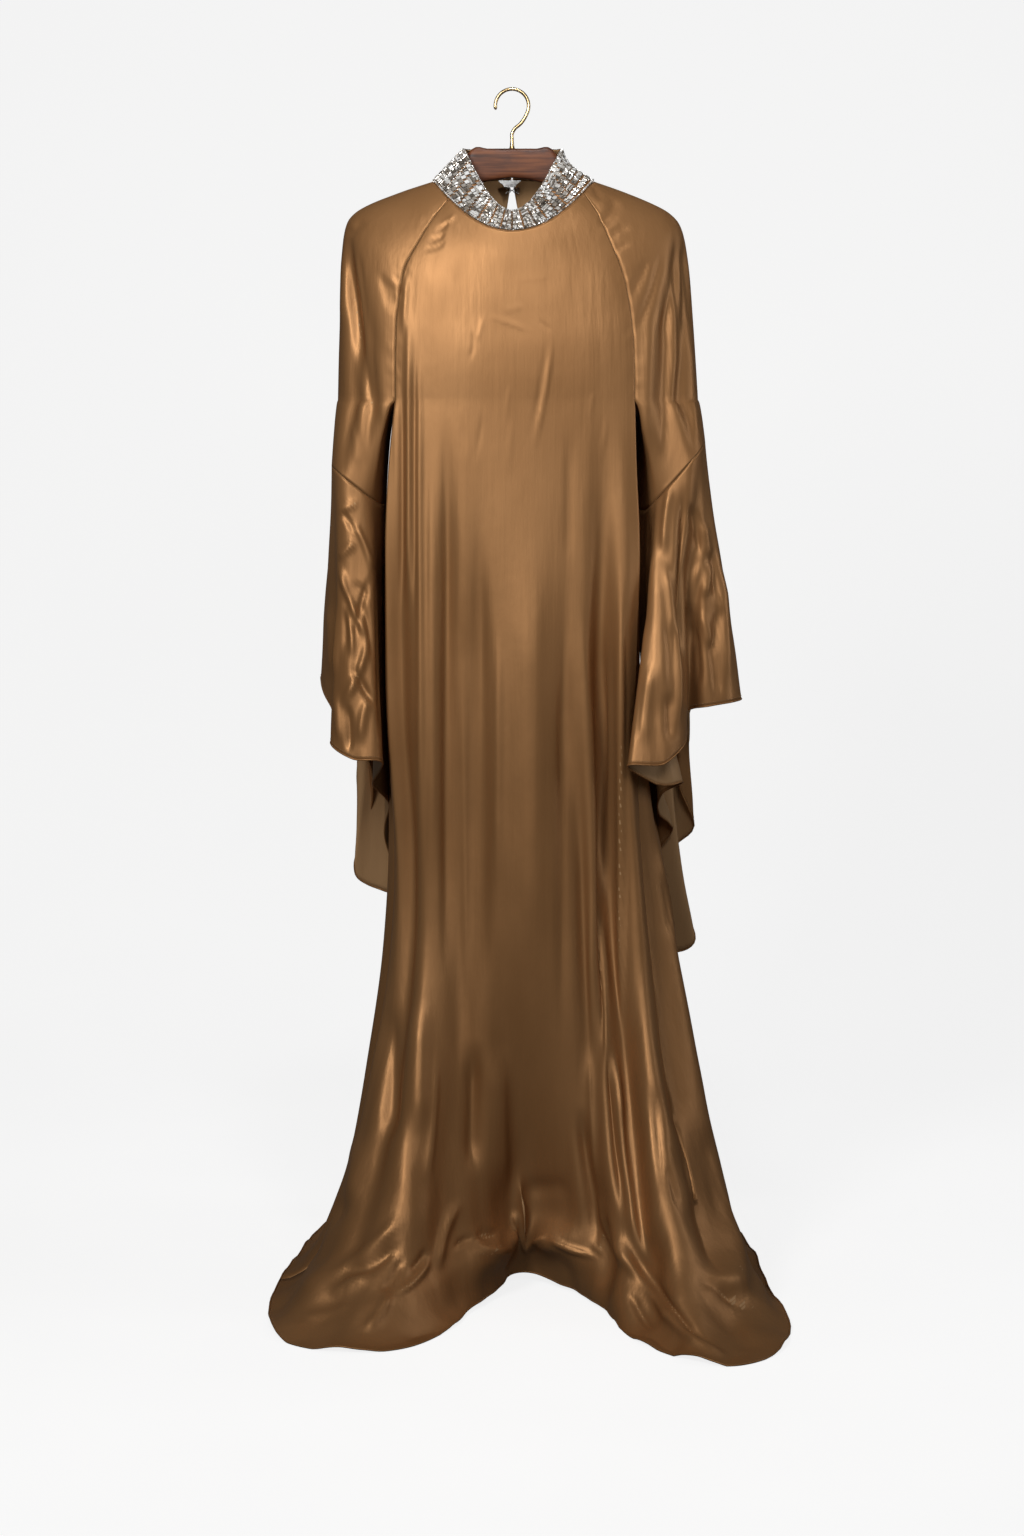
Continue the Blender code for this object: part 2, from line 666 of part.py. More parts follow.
def add_yoke_grid(cloth, points, push, back):
    """The front or back above the underarm, whose end columns are seams. The back has the slit."""
    columns = points.shape[1] - 1
    middle = columns // 2
    zone = "back" if back else "front"

    def key(r, c, half=""):
        if c in (0, columns):
            return ("yoke", seam_name(back, c == columns), r)
        return ("yoke", zone, r, c, half)

    if not back:
        cloth.grid("front", key, points, push)
        return
    opened = [slit_half_width(points[r, middle, 2]) for r in range(points.shape[0])]
    for panel, sign, first, last in (("back_right", 1, 0, middle), ("back_left", -1, middle, columns)):
        part = points[:, first : last + 1].copy()
        centre = middle - first
        for r, width in enumerate(opened):
            reach = 1 - np.abs(np.arange(part.shape[1]) - centre) / middle
            part[r, :, 0] += sign * width * reach

        def half_key(r, c, panel=panel, first=first):
            column = c + first
            if column == middle and opened[r] > 0:
                return ("yoke", zone, r, column, panel)
            return key(r, column)

        cloth.grid(panel, half_key, part, push[:, first : last + 1])


def add_body(cloth):
    """Front, sides and back below the underarm. The side seams run down the middle of the sides."""
    levels = list(np.linspace(1.134, SKIRT_TOP, BODY_ROWS + 1)) + [None] * SWEEP_ROWS
    angles, names = body_columns()
    rows = []
    for r, level in enumerate(levels):
        if level is None:
            share = ((r - BODY_ROWS) / SWEEP_ROWS) ** 0.9
            rows.append((sweep(angles, share), np.full(len(angles), SKIRT_TOP * (1 - share))))
        else:
            rows.append((body_ring(angles, level), np.full(len(angles), level)))
    points = np.array([row[0] for row in rows])
    push = np.array([fold_depth(angles, row[1]) + buckle_depth(angles, row[0][:, 2]) for row in rows])

    for c, name in enumerate(names):
        if name[0] == "arch":
            points[0, c] = arch(*name[1:])
            push[0, c] = 0
        elif name[0] in ("FL", "FR", "BR", "BL"):
            push[0, c] = 0

    def key(r, c):
        c = c % len(names)
        name = names[c]
        if r > 0:
            return ("body", r, c)
        if name[0] in ("FL", "FR", "BR", "BL"):
            return ("yoke", name[0], YOKE_ROWS)
        if name[0] == "arch":
            return name
        return ("yoke", name[0], YOKE_ROWS, name[1], "")

    side_seam = FRONT_COLUMNS + WALL_COLUMNS // 2
    centre_back = FRONT_COLUMNS + WALL_COLUMNS + BACK_COLUMNS // 2
    other_seam = len(names) - WALL_COLUMNS // 2
    panels = (
        ("front", other_seam, len(names) + side_seam),
        ("back_right", side_seam, centre_back),
        ("back_left", centre_back, other_seam),
    )
    for panel, start, end in panels:
        chosen = [c % len(names) for c in range(start, end + 1)]
        cloth.grid(panel, lambda r, c, chosen=chosen: key(r, chosen[c]), points[:, chosen], push[:, chosen])


def body_columns():
    """Column angles round the body, and for each the name of the point that it starts from."""
    angles, names = [], []
    zones = (
        ("front", "FL", -FRONT_CORNER, FRONT_CORNER, FRONT_COLUMNS, None),
        ("arch", "FR", FRONT_CORNER, BACK_CORNER, WALL_COLUMNS, 1),
        ("back", "BR", BACK_CORNER, 360 - BACK_CORNER, BACK_COLUMNS, None),
        ("arch", "BL", 360 - BACK_CORNER, 360 - FRONT_CORNER, WALL_COLUMNS, -1),
    )
    for zone, corner, start, end, columns, side in zones:
        for c in range(columns):
            angles.append(mix(start, end, c / columns))
            if c == 0:
                names.append((corner,))
            elif zone == "arch":
                names.append(("arch", side, c if side > 0 else columns - c))
            else:
                names.append((zone, c))
    return np.array(angles), names


def arch(side, step):
    """A point of the underarm seam, counted from the front."""
    share = step / WALL_COLUMNS
    one = np.array(1.0)
    zero = np.array(0.0)
    front = panel_yoke(one if side > 0 else zero, one, False)
    back = panel_yoke(zero if side > 0 else one, one, True)
    point = mix(front, back, share)
    point[0] += side * 0.007 * math.sin(math.pi * share)
    point[2] -= ARCH_SAG * math.sin(math.pi * share)
    return point


def sleeve_ring_turns():
    """The way round the sleeve for each of its columns: outer columns first, then the inner wall."""
    outer_share = 0.70
    outer = np.linspace(0, outer_share, SLEEVE_COLUMNS + 1)
    inner = np.linspace(outer_share, 1, WALL_COLUMNS + 1)[1:]
    return np.concatenate([outer, inner])


def add_sleeve(cloth, side, yoke_shares):
    """A raglan sleeve from the neck to the elbow seam."""
    panel = "sleeve_right" if side > 0 else "sleeve_left"
    across, share = np.meshgrid(np.linspace(0, 1, SLEEVE_COLUMNS + 1), yoke_shares)
    points = sleeve_yoke(side, across, share)
    angle = sleeve_angles(side, across, share)
    edge = ease(np.minimum(across, 1 - across) / 0.12)
    push = sleeve_fold_depth(side, angle, share) * edge
    first, last = ("FR", "BR") if side > 0 else ("BL", "FL")

    def upper_key(r, c):
        if c == 0:
            return ("yoke", first, r)
        if c == SLEEVE_COLUMNS:
            return ("yoke", last, r)
        return (panel, r, c)

    cloth.grid(panel, upper_key, points, push)

    rim = [points[-1, c] for c in range(SLEEVE_COLUMNS + 1)]
    rim_push = list(push[-1])
    names = [upper_key(YOKE_ROWS, c) for c in range(SLEEVE_COLUMNS + 1)]
    steps = list(range(WALL_COLUMNS - 1, 0, -1)) if side > 0 else list(range(1, WALL_COLUMNS))
    for step in steps:
        rim.append(arch(side, step))
        rim_push.append(0.0)
        names.append(("arch", side, step))
    rim.append(rim[0])
    rim_push.append(rim_push[0])
    names.append(names[0])
    rim = np.array(rim)

    turns = sleeve_ring_turns()
    low = elbow_ring(side, turns if side > 0 else mix(0.70, 0, turns / 0.70))
    rows = [mix(rim, low, ease_in(r / SLEEVE_ROWS)) for r in range(SLEEVE_ROWS + 1)]
    fade = [np.array(rim_push) * (1 - r / SLEEVE_ROWS) for r in range(SLEEVE_ROWS + 1)]
    count = len(turns) - 1

    def lower_key(r, c):
        c = c % count
        if r == 0:
            return names[c]
        return elbow_key(side, c * 2) if r == SLEEVE_ROWS else (panel, "arm", r, c)

    cloth.grid(panel, lower_key, np.array(rows), np.array(fade))


def ease_in(share):
    """Moves the sleeve's sides apart soon after the underarm."""
    return np.array([share**0.6, share, share])


def elbow_key(side, half_column):
    return ("elbow", side, half_column)


def add_ruffle(cloth, side):
    """A flounce with twice the sleeve's columns."""
    panel = "flounce_right" if side > 0 else "flounce_left"
    turns = sleeve_ring_turns()
    if side < 0:
        turns = mix(0.70, 0, turns / 0.70)
    doubled = np.empty(2 * len(turns) - 1)
    doubled[::2] = turns
    doubled[1::2] = (turns[:-1] + turns[1:]) / 2
    down = (np.arange(RUFFLE_ROWS + 1) / RUFFLE_ROWS)[:, None]
    points = ruffle(side, doubled[None, :] * np.ones_like(down), down * np.ones_like(doubled)[None, :])
    points[0, 1::2] = (points[0, :-1:2] + points[0, 2::2]) / 2
    count = len(doubled) - 1

    def key(r, c):
        c = c % count
        return elbow_key(side, c) if r == 0 else (panel, r, c)

    cloth.grid(panel, key, points, np.zeros(points.shape[:2]))


# Objects

def material(name, look):
    colour, roughness, metallic = look
    made = bpy.data.materials.new(name)
    made.use_nodes = True
    shader = made.node_tree.nodes["Principled BSDF"]
    shader.inputs["Base Color"].default_value = (*colour, 1)
    shader.inputs["Roughness"].default_value = roughness
    shader.inputs["Metallic"].default_value = metallic
    return made


def add_object(name, data, look, parent):
    made = bpy.data.objects.new(name, data)
    data.materials.append(look)
    made.parent = parent
    bpy.context.scene.collection.objects.link(made)
    return made


def solid(name, points, faces, look, parent, sharp=50):
    """A closed mesh object from points and faces."""
    mesh = bpy.data.meshes.new(name)
    mesh.from_pydata([tuple(p) for p in points], [], [tuple(int(n) for n in f) for f in faces])
    shell = bmesh.new()
    shell.from_mesh(mesh)
    bmesh.ops.triangulate(shell, faces=shell.faces, quad_method="SHORT_EDGE")
    shell.to_mesh(mesh)
    shell.free()
    mesh.shade_smooth()
    mesh.set_sharp_from_angle(angle=math.radians(sharp))
    return add_object(name, mesh, look, parent)


def loop_walls(rings):
    """Faces of a closed solid of rings, with its two ends filled by fans."""
    rows, count = len(rings), len(rings[0])
    faces = []
    for r in range(rows - 1):
        for c in range(count):
            n = (c + 1) % count
            faces.append((r * count + c, r * count + n, (r + 1) * count + n, (r + 1) * count + c))
    points = np.concatenate(rings)
    ends = np.array([rings[0].mean(0), rings[-1].mean(0)])
    first, last = len(points), len(points) + 1
    for c in range(count):
        n = (c + 1) % count
        faces.append((first, n, c))
        faces.append((last, (rows - 1) * count + c, (rows - 1) * count + n))
    return np.concatenate([points, ends]), faces


def collar_edge(angle, top):
    """A point of the collar's upper or lower edge at a ring angle."""
    if not top:
        return yoke_ring(angle, 0.0)
    sine, cosine = np.sin(np.radians(angle)), np.cos(np.radians(angle))
    low, side, high = COLLAR_TOP["h"]
    x = np.where(sine >= 0, COLLAR_TOP["right"], COLLAR_TOP["left"]) * sine
    y = -np.where(cosine >= 0, COLLAR_TOP["front"], COLLAR_TOP["back"]) * cosine
    h = side + np.where(cosine >= 0, low - side, high - side) * np.abs(cosine) ** COLLAR_DIP
    return stack(x, y, h)


def collar_point(angle, up):
    """A point of the collar's outer face, up from its seam (0) to its top edge (1)."""
    point = mix(collar_edge(angle, False), collar_edge(angle, True), np.asarray(up)[..., None])
    point[..., 2] += COLLAR_SEAM * (1 - up)
    point[..., 0] -= COLLAR_HOLLOW * np.sin(np.pi * up) * np.clip(np.sin(np.radians(angle)), 0, 1) ** 2
    return point


def collar_normal(angle):
    """The collar's outward normal at a ring angle."""
    step = 0.5
    along = collar_point(angle + step, 0.5 + 0 * angle) - collar_point(angle - step, 0.5 + 0 * angle)
    upwards = collar_edge(angle, True) - collar_edge(angle, False)
    normal = np.cross(along, upwards)
    return normal / np.linalg.norm(normal, axis=-1, keepdims=True)


def yoke_normal(angle, share):
    """The yoke's outward normal."""
    along = yoke_ring(angle + 0.5, share) - yoke_ring(angle - 0.5, share)
    upwards = yoke_ring(angle, share) - yoke_ring(angle, share + 0.05)
    normal = np.cross(along, upwards)
    return normal / np.linalg.norm(normal, axis=-1, keepdims=True)


def build_collar(look, parent):
    """The collar band, open at the back centre, with a raised rib for each column of stones."""
    end = math.degrees(SLIT_GAP / 2 / COLLAR_TOP["back"])
    steps = COLLAR_STONE_COLUMNS * 3
    angles = np.linspace(-180 + end, 180 - end, steps + 1)
    relief = np.where(np.arange(steps + 1) % 3 == 0, 0.0, COLLAR_RELIEF)
    normals = collar_normal(angles)
    seam_normals = yoke_normal(angles, 0.0)
    rings = []
    for n, angle in enumerate(angles):
        up = np.linspace(0, 1, COLLAR_ROWS + 1)
        face = collar_point(np.full_like(up, angle), up)
        swell = relief[n] * np.where((up == 0) | (up == 1), 0.35, 1.0)[:, None]
        outer = face + normals[n] * swell
        lean = mix(seam_normals[n], normals[n], np.clip(up * 3, 0, 1)[:, None])
        inner = face - lean * COLLAR_WALL
        rings.append(np.concatenate([outer, inner[::-1]]))
    points, faces = loop_walls(rings)
    solid("collar", points, faces, look, parent, sharp=25)


def build_hanger(look, parent):
    """The hanger's wooden arms and neck block, lofted through its sections."""
    half = HANGER["x"]
    places = np.concatenate([-half[:0:-1], half])
    turn = np.linspace(0, 2 * math.pi, HANGER_SIDES, endpoint=False)
    rings = []
    for x in places:
        names = ("top", "bottom", "half_thickness")
        top, bottom, thick = (float(smooth(HANGER, "x", name, abs(x))) for name in names)
        block = ease((0.075 - abs(x)) / 0.03)
        power = mix(1.0, 0.45, float(block))
        sine, cosine = np.sin(turn), np.cos(turn)
        y = thick * np.sign(cosine) * np.abs(cosine) ** power
        h = (top + bottom) / 2 + (top - bottom) / 2 * np.sign(sine) * np.abs(sine) ** power
        rings.append(stack(x, y, h))
    points, faces = loop_walls(rings)
    solid("hanger_wood", points, faces, look, parent, sharp=40)


def hook_path():
    """Centreline of the hook: a shank over the wood that bends into an open ring."""
    foot = float(HANGER["top"][0]) + SEAM_GAP
    path = [(0.0, foot), (0.0, foot + 0.004), (0.0, foot + 0.012), (0.0, foot + 0.018)]
    path += [(0.0035, foot + 0.0245), (0.0105, foot + 0.0305)]
    for degrees in range(-28, 206, 13):
        turn = math.radians(degrees)
        path.append((HOOK_BEND * math.cos(turn), HOOK_CENTRE + HOOK_BEND * math.sin(turn)))
    return path


def build_hook(look, parent):
    data = bpy.data.curves.new("hanger_hook", "CURVE")
    data.dimensions = "3D"
    data.bevel_depth = HOOK_WIRE
    data.bevel_resolution = 2
    data.use_fill_caps = True
    line = data.splines.new("POLY")
    path = hook_path()
    line.points.add(len(path) - 1)
    for n, (x, h) in enumerate(path):
        line.points[n].co = (x, 0, h, 1)
        line.points[n].radius = HOOK_FLARE if n == 0 else 1.0
    add_object("hanger_hook", data, look, parent)


def build_label(look, parent):
    """A blank woven label that hangs inside the back neck."""
    width, height, thickness = LABEL_SIZE
    rings = []
    for across in np.linspace(-0.5, 0.5, 5):
        x = LABEL_CENTRE + across * width
        lowered = LABEL_TAPER * (2 * across) ** 2
        ring = []
        for down, inward in ((0.0, 0.0), (1 - lowered, 0.0), (1 - lowered, 1.0), (0.0, 1.0)):
            share = LABEL_SHARES[0] + LABEL_SHARES[1] * down
            back = yoke_ring(ring_angle(x, share, True), share)
            y = float(back[1]) - LABEL_CLEAR - LABEL_LEAN * down - inward * thickness
            ring.append((x, y, float(back[2]) - LABEL_TAPER * height * down))
        rings.append(np.array(ring)[::-1])
    points, faces = loop_walls(rings)
    solid("label", points, faces, look, parent)


def build_closures(look, parent):
    """Hook-and-eye rings inside the back of the collar, one of each pair on either side of the slit."""
    low, high = float(YOKE["h_back"][0]), COLLAR_TOP["h"][2]
    for n, height in enumerate(CLOSURE_HEIGHTS):
        on_collar = height > low
        wall = COLLAR_WALL if on_collar else CLOTH
        for name, side in (("eye", 1), ("hook", -1)):
            offset = side * (CLOSURE_RING + CLOSURE_WIRE + SEAM_GAP)
            if on_collar:
                angle = np.array(180 - math.degrees(offset / COLLAR_TOP["left"]))
                face = collar_point(angle, np.array((height - low) / (high - low)))
                inward = -collar_normal(angle)
            else:
                share = np.interp(low - height, low - YOKE["h_back"], YOKE["share"])
                angle = ring_angle(offset, share, back=True)
                face = yoke_ring(angle, share)
                inward = -yoke_normal(angle, share)
            centre = face + inward * (wall + CLOSURE_WIRE + SEAM_GAP)
            points, faces = wire_ring(centre, inward)
            solid(f"{name}_{n + 1}", points, faces, look, parent)


def wire_ring(centre, axis):
    """A small closed ring of wire, flat against the cloth."""
    across = np.cross(axis, (0.0, 0.0, 1.0))
    across /= np.linalg.norm(across)
    upright = np.cross(across, axis)
    segments, sides = 12, 6
    points, faces = [], []
    for s in range(segments):
        turn = 2 * math.pi * s / segments
        out = across * math.cos(turn) + upright * math.sin(turn)
        for k in range(sides):
            bend = 2 * math.pi * k / sides
            reach = CLOSURE_RING + CLOSURE_WIRE * math.cos(bend)
            points.append(centre + out * reach + axis * CLOSURE_WIRE * math.sin(bend))
            here, after = s * sides, (s + 1) % segments * sides
            following = (k + 1) % sides
            faces.append((here + k, here + following, after + following, after + k))
    return np.array(points), faces


def point_out(made):
    """Turns a closed mesh's faces outwards where they point in."""
    shell = bmesh.new()
    shell.from_mesh(made.data)
    if shell.calc_volume(signed=True) < 0:
        bmesh.ops.reverse_faces(shell, faces=shell.faces)
        shell.to_mesh(made.data)
    shell.free()


def main():
    for old in list(bpy.data.objects):
        bpy.data.objects.remove(old)
    stand = bpy.data.objects.new("hanging_point", None)
    stand.location = (0, 0, -HANG_HEIGHT)
    bpy.context.scene.collection.objects.link(stand)

    satin = material("satin", SATIN)
    cloth = build_cloth()
    cloth.settle()
    for panel in PANELS:
        points, faces = cloth.wall(panel, CLOTH)
        solid(panel, points, faces, satin, stand)
    build_collar(material("stones", STONES), stand)
    build_hanger(material("wood", WOOD), stand)
    build_hook(material("brass", BRASS), stand)
    build_label(material("label_white", LABEL_WHITE), stand)
    build_closures(material("steel", STEEL), stand)
    for made in bpy.data.objects:
        if made.type == "MESH":
            point_out(made)


main()
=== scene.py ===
import json
import math

import bpy
import numpy as np
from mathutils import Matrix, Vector, noise

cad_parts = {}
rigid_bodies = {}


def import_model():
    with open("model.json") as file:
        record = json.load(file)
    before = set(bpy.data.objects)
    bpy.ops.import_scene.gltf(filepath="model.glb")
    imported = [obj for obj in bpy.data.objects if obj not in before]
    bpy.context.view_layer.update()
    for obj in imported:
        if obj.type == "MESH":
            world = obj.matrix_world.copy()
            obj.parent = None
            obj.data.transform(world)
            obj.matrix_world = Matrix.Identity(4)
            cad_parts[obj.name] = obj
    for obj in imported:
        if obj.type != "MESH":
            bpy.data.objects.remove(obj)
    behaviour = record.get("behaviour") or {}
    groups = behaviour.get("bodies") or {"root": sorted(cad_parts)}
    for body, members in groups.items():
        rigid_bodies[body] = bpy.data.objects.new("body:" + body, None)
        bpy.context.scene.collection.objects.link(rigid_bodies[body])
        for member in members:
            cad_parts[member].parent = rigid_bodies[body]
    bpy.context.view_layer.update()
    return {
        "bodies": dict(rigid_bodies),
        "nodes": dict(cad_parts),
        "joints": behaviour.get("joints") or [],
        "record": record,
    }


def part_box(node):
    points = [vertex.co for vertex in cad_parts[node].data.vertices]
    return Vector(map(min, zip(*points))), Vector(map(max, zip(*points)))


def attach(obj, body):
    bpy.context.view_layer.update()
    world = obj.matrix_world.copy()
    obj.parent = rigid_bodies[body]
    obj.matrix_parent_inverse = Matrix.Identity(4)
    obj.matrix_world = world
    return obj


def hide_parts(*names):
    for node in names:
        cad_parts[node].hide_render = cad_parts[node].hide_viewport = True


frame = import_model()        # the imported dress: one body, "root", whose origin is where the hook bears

HANG_HEIGHT = 1.5207        # from the floor to the point where the hook bears
CLOTH = 0.0016              # thickness of the frame's satin wall
SHELL = 0.0008              # thickness of the satin shells here
SEAM_GAP = 0.0003           # between two panels at a seam
FLOOR_LIFT = 0.0006         # lowest cloth above the floor
SKIRT_TOP = 0.60            # below this height the skirt sweeps out to its hem
FRONT_CORNER = 60.0         # column angle, in degrees, where the front turns into the side
BACK_CORNER = 110.0         # column angle where the side turns into the back
CORNER_DEPTH = 0.82         # depth of a corner as a share of the panel's depth at its centre
ARCH_SAG = 0.022            # how far the underarm seam dips between front and back
SLIT_GAP = 0.0008           # between the two ends of the collar
KEYHOLE_LENGTH = 0.150      # the back keyhole, below the collar
KEYHOLE_WIDTH = 0.024

# How many columns and rows each shell has
FRONT_COLUMNS = 160
WALL_COLUMNS = 24
BACK_COLUMNS = 120
SLEEVE_COLUMNS = 64
YOKE_ROWS = 60
BODY_ROWS = 50
SWEEP_ROWS = 110
SLEEVE_ROWS = 26
RUFFLE_ROWS = 70

# The camera: where the eye stands, how far it looks down in degrees, and its lens in millimetres
EYE_DISTANCE = 4.0
EYE_HEIGHT = 1.15
CAMERA_TILT = 6.97
LENS = 73.0
SENSOR = 36.0

# The stage: half its size, where its floor curves up and how sharply, and how high its wall is
STAGE_REACH = 6.0
CURVE_START = 1.2
CURVE_RADIUS = 1.0
WALL_TOP = 5.0

# The photo, in its own pixels: its centre, the lens's focal length, and the pixels of a metre at the dress
PHOTO_CENTRE = (512, 768)
PHOTO_FOCUS = 3115.0
PHOTO_SCALE = 775.0

SWEEP_FALL = 0.30           # how long the skirt keeps its slope before it sweeps out
SWEEP_REACH = 0.16          # a hem that lies nearer than this meets the floor more upright
SWEEP_DROP = 0.10           # height over which it then does
OUTER_SHARE = 0.70          # share of the sleeve's ring that is its outer side
HEM_RADIUS = 0.0012         # of the rolled hem
STITCH_PITCH = 0.0026
STITCH_RISE = 0.00025       # of a stitch's middle over its ends
STITCH_THREAD = 0.00022     # radius
PUCKER_DEPTH = 0.0011       # of the ripples across a seam
PUCKER_REACH = 0.009        # how far from it they go
SEAM_SINK = 0.0006          # of the groove along the seam
SEAM_REACH = 0.0022

# The collar: its top edge, its cloth band, and its columns of stones. h is the edge's height at the
# front, the sides and the back.
COLLAR_TOP = {"left": 0.0600, "right": 0.0625, "front": 0.047, "back": 0.047, "h": (1.3695, 1.449, 1.4525)}
COLLAR_SEAM = 0.0006        # clear of the panels below it
COLLAR_HOLLOW = 0.010       # how far its right side curves in on the way up
COLLAR_DIP = 2.3            # how sharply its top edge dips at the front
COLLAR_STEP = 0.4           # degrees between the two points that give a direction round it
BAND_COLUMNS = 260
BAND_ROWS = 16
BAND_SINK = 0.0004          # of the cloth below the frame's face
BAND_WALL = 0.0016
STONE_COLUMNS = 42
STONE_ROWS = 7
STONE_BAND = (0.055, 0.945)         # shares of the collar's height between its two bead rows
COLUMN_GAP = 0.0018         # bare cloth between two columns
STONE_CLEAR = 0.00025       # between two settings
STONE_RISE = 0.0021
FRAME_SINK = -0.0003        # foot of a stone's silver frame
FRAME_RISE = 0.0010
PRONG = 0.00075             # width

# The closures' wire: its radius, the radii of the bow and of the sewing rings, and where the rings sit
CLOSURE_WIRE = 0.00045
CLOSURE_BOW = 0.0026
CLOSURE_RING = 0.0011
CLOSURE_FOOT = 0.0034
CLOSURE_SPREAD = 0.0032

# The hanger and its hook
HANGER_SIDES = 40
HANGER_END = 0.203
HOOK_WIRE = 0.00225         # radius
HOOK_BEND = 0.021           # radius of the hook's centreline
HOOK_FLARE = 1.6            # radius of the foot over the wire's
HOOK_CENTRE = 1.5020        # height of the hook's centre

# The frame's nodes that a satin panel stands for, where they aren't one node of its own name
PANEL_NODES = {"back": ("back_left", "back_right")}

# Each satin panel's cut: its flat width and length, and the area of what shows
PANEL_CUTS = {
    "front": (1.15, 1.42, 0.85),
    "back": (1.15, 1.48, 0.87),
    "sleeve_left": (0.36, 0.44, 0.11),
    "sleeve_right": (0.36, 0.44, 0.11),
    "flounce_left": (0.62, 0.52, 0.17),
    "flounce_right": (0.66, 0.58, 0.23),
}


def table(columns, rows):
    """A short table as one array for each named column."""
    return {name: np.array([row[n] for row in rows], float) for n, name in enumerate(columns.split())}


# Rings of the yoke, from the neckline over the shoulders to the underarm. share is the way down.
YOKE = table("share left right front back h_front h_side h_back", [
    (0.000, 0.0995, 0.1035, 0.090, 0.068, 1.343, 1.408, 1.416),
    (0.125, 0.1400, 0.1400, 0.096, 0.074, 1.318, 1.3955, 1.395),
    (0.250, 0.1800, 0.1780, 0.099, 0.079, 1.290, 1.380, 1.367),
    (0.375, 0.2020, 0.2020, 0.102, 0.082, 1.262, 1.366, 1.335),
    (0.500, 0.2115, 0.2150, 0.104, 0.084, 1.234, 1.348, 1.300),
    (0.640, 0.2165, 0.2240, 0.106, 0.085, 1.205, 1.305, 1.255),
    (0.820, 0.2190, 0.2310, 0.107, 0.086, 1.170, 1.225, 1.195),
    (1.000, 0.2220, 0.2370, 0.108, 0.086, 1.134, 1.134, 1.134),
])

# Half widths of the front and back panels at the raglan seams, at the same shares.
RAGLAN = table("share front_left front_right back_left back_right", [
    (0.000, 0.079, 0.090, 0.070, 0.070),
    (0.125, 0.100, 0.108, 0.090, 0.090),
    (0.250, 0.118, 0.122, 0.107, 0.108),
    (0.375, 0.131, 0.133, 0.122, 0.124),
    (0.500, 0.138, 0.141, 0.132, 0.135),
    (0.640, 0.143, 0.147, 0.139, 0.143),
    (0.820, 0.145, 0.151, 0.144, 0.149),
    (1.000, 0.146, 0.153, 0.146, 0.152),
])

# Sections of the body below the underarm. round is 0 for a flat-sided section and 1 for an oval.
BODY = table("height left right front back round", [
    (1.134, 0.146, 0.153, 0.108, 0.086, 0.00),
    (1.060, 0.154, 0.155, 0.110, 0.088, 0.00),
    (0.950, 0.159, 0.160, 0.114, 0.092, 0.00),
    (0.850, 0.160, 0.162, 0.118, 0.098, 0.05),
    (0.720, 0.160, 0.166, 0.123, 0.108, 0.20),
    (0.600, 0.158, 0.184, 0.128, 0.118, 0.50),
    (0.500, 0.159, 0.200, 0.132, 0.126, 0.75),
])

# The hem on the floor, as points by column angle. rise is its height over the floor there, and hug
# is how close the skirt stays to a plumb fall before it sweeps out.
HEM = table("angle x y rise hug", [
    (-150, -0.175, 0.320, 0.000, 0.50),
    (-125, -0.258, 0.190, 0.002, 0.52),
    (-100, -0.285, 0.040, 0.000, 0.56),
    (-80, -0.303, -0.110, 0.003, 0.56),
    (-66, -0.301, -0.245, 0.000, 0.52),
    (-54, -0.272, -0.340, 0.002, 0.46),
    (-44, -0.206, -0.376, 0.000, 0.42),
    (-33, -0.128, -0.360, 0.001, 0.42),
    (-23, -0.076, -0.284, 0.003, 0.42),
    (-14, -0.036, -0.180, 0.006, 0.42),
    (-6, -0.002, -0.100, 0.012, 0.42),
    (4, 0.040, -0.088, 0.010, 0.42),
    (13, 0.082, -0.130, 0.004, 0.42),
    (22, 0.110, -0.205, 0.002, 0.42),
    (32, 0.150, -0.330, 0.000, 0.42),
    (42, 0.212, -0.410, 0.002, 0.42),
    (52, 0.268, -0.428, 0.000, 0.42),
    (61, 0.318, -0.380, 0.007, 0.42),
    (69, 0.340, -0.300, 0.000, 0.44),
    (84, 0.330, -0.110, 0.002, 0.45),
    (102, 0.320, 0.080, 0.000, 0.45),
    (125, 0.290, 0.230, 0.003, 0.45),
    (150, 0.180, 0.345, 0.000, 0.45),
    (180, 0.000, 0.385, 0.003, 0.45),
    (210, -0.175, 0.320, 0.000, 0.50),
])

# Folds of the body by column angle, at the underarm and at the hem. depth is over 0 for a ridge.
FOLDS = table("top hem starts full depth half_width", [
    (-53, -52, 1.10, 0.80, -0.009, 4.5),
    (-43, -42, 1.05, 0.70, 0.008, 6.0),
    (-21, -26, 1.00, 0.50, -0.015, 9.0),
    (8, 4, 1.10, 0.70, 0.006, 13.0),
    (29, 22, 0.85, 0.45, -0.012, 4.5),
    (44, 35, 1.15, 0.65, -0.021, 5.0),
    (54, 44, 1.15, 0.80, 0.010, 6.0),
    (66, 58, 1.00, 0.60, -0.020, 6.0),
    (78, 72, 0.75, 0.45, 0.010, 6.5),
    (91, 88, 0.90, 0.50, -0.018, 7.0),
    (105, 103, 0.75, 0.45, 0.008, 7.0),
    (120, 119, 1.05, 0.60, -0.018, 7.0),
    (135, 134, 1.00, 0.60, 0.012, 8.0),
    (151, 150, 1.00, 0.55, -0.016, 7.5),
    (168, 168, 0.95, 0.50, 0.010, 8.0),
    (184, 185, 0.90, 0.50, -0.014, 8.0),
    (200, 201, 1.00, 0.55, 0.011, 7.5),
    (216, 217, 1.05, 0.60, -0.017, 7.5),
    (232, 233, 1.00, 0.60, 0.012, 7.0),
    (246, 248, 1.05, 0.60, -0.016, 6.5),
    (262, 263, 0.60, 0.35, 0.008, 7.0),
    (277, 279, 0.95, 0.50, -0.014, 6.5),
    (290, 292, 0.60, 0.35, 0.007, 6.0),
])

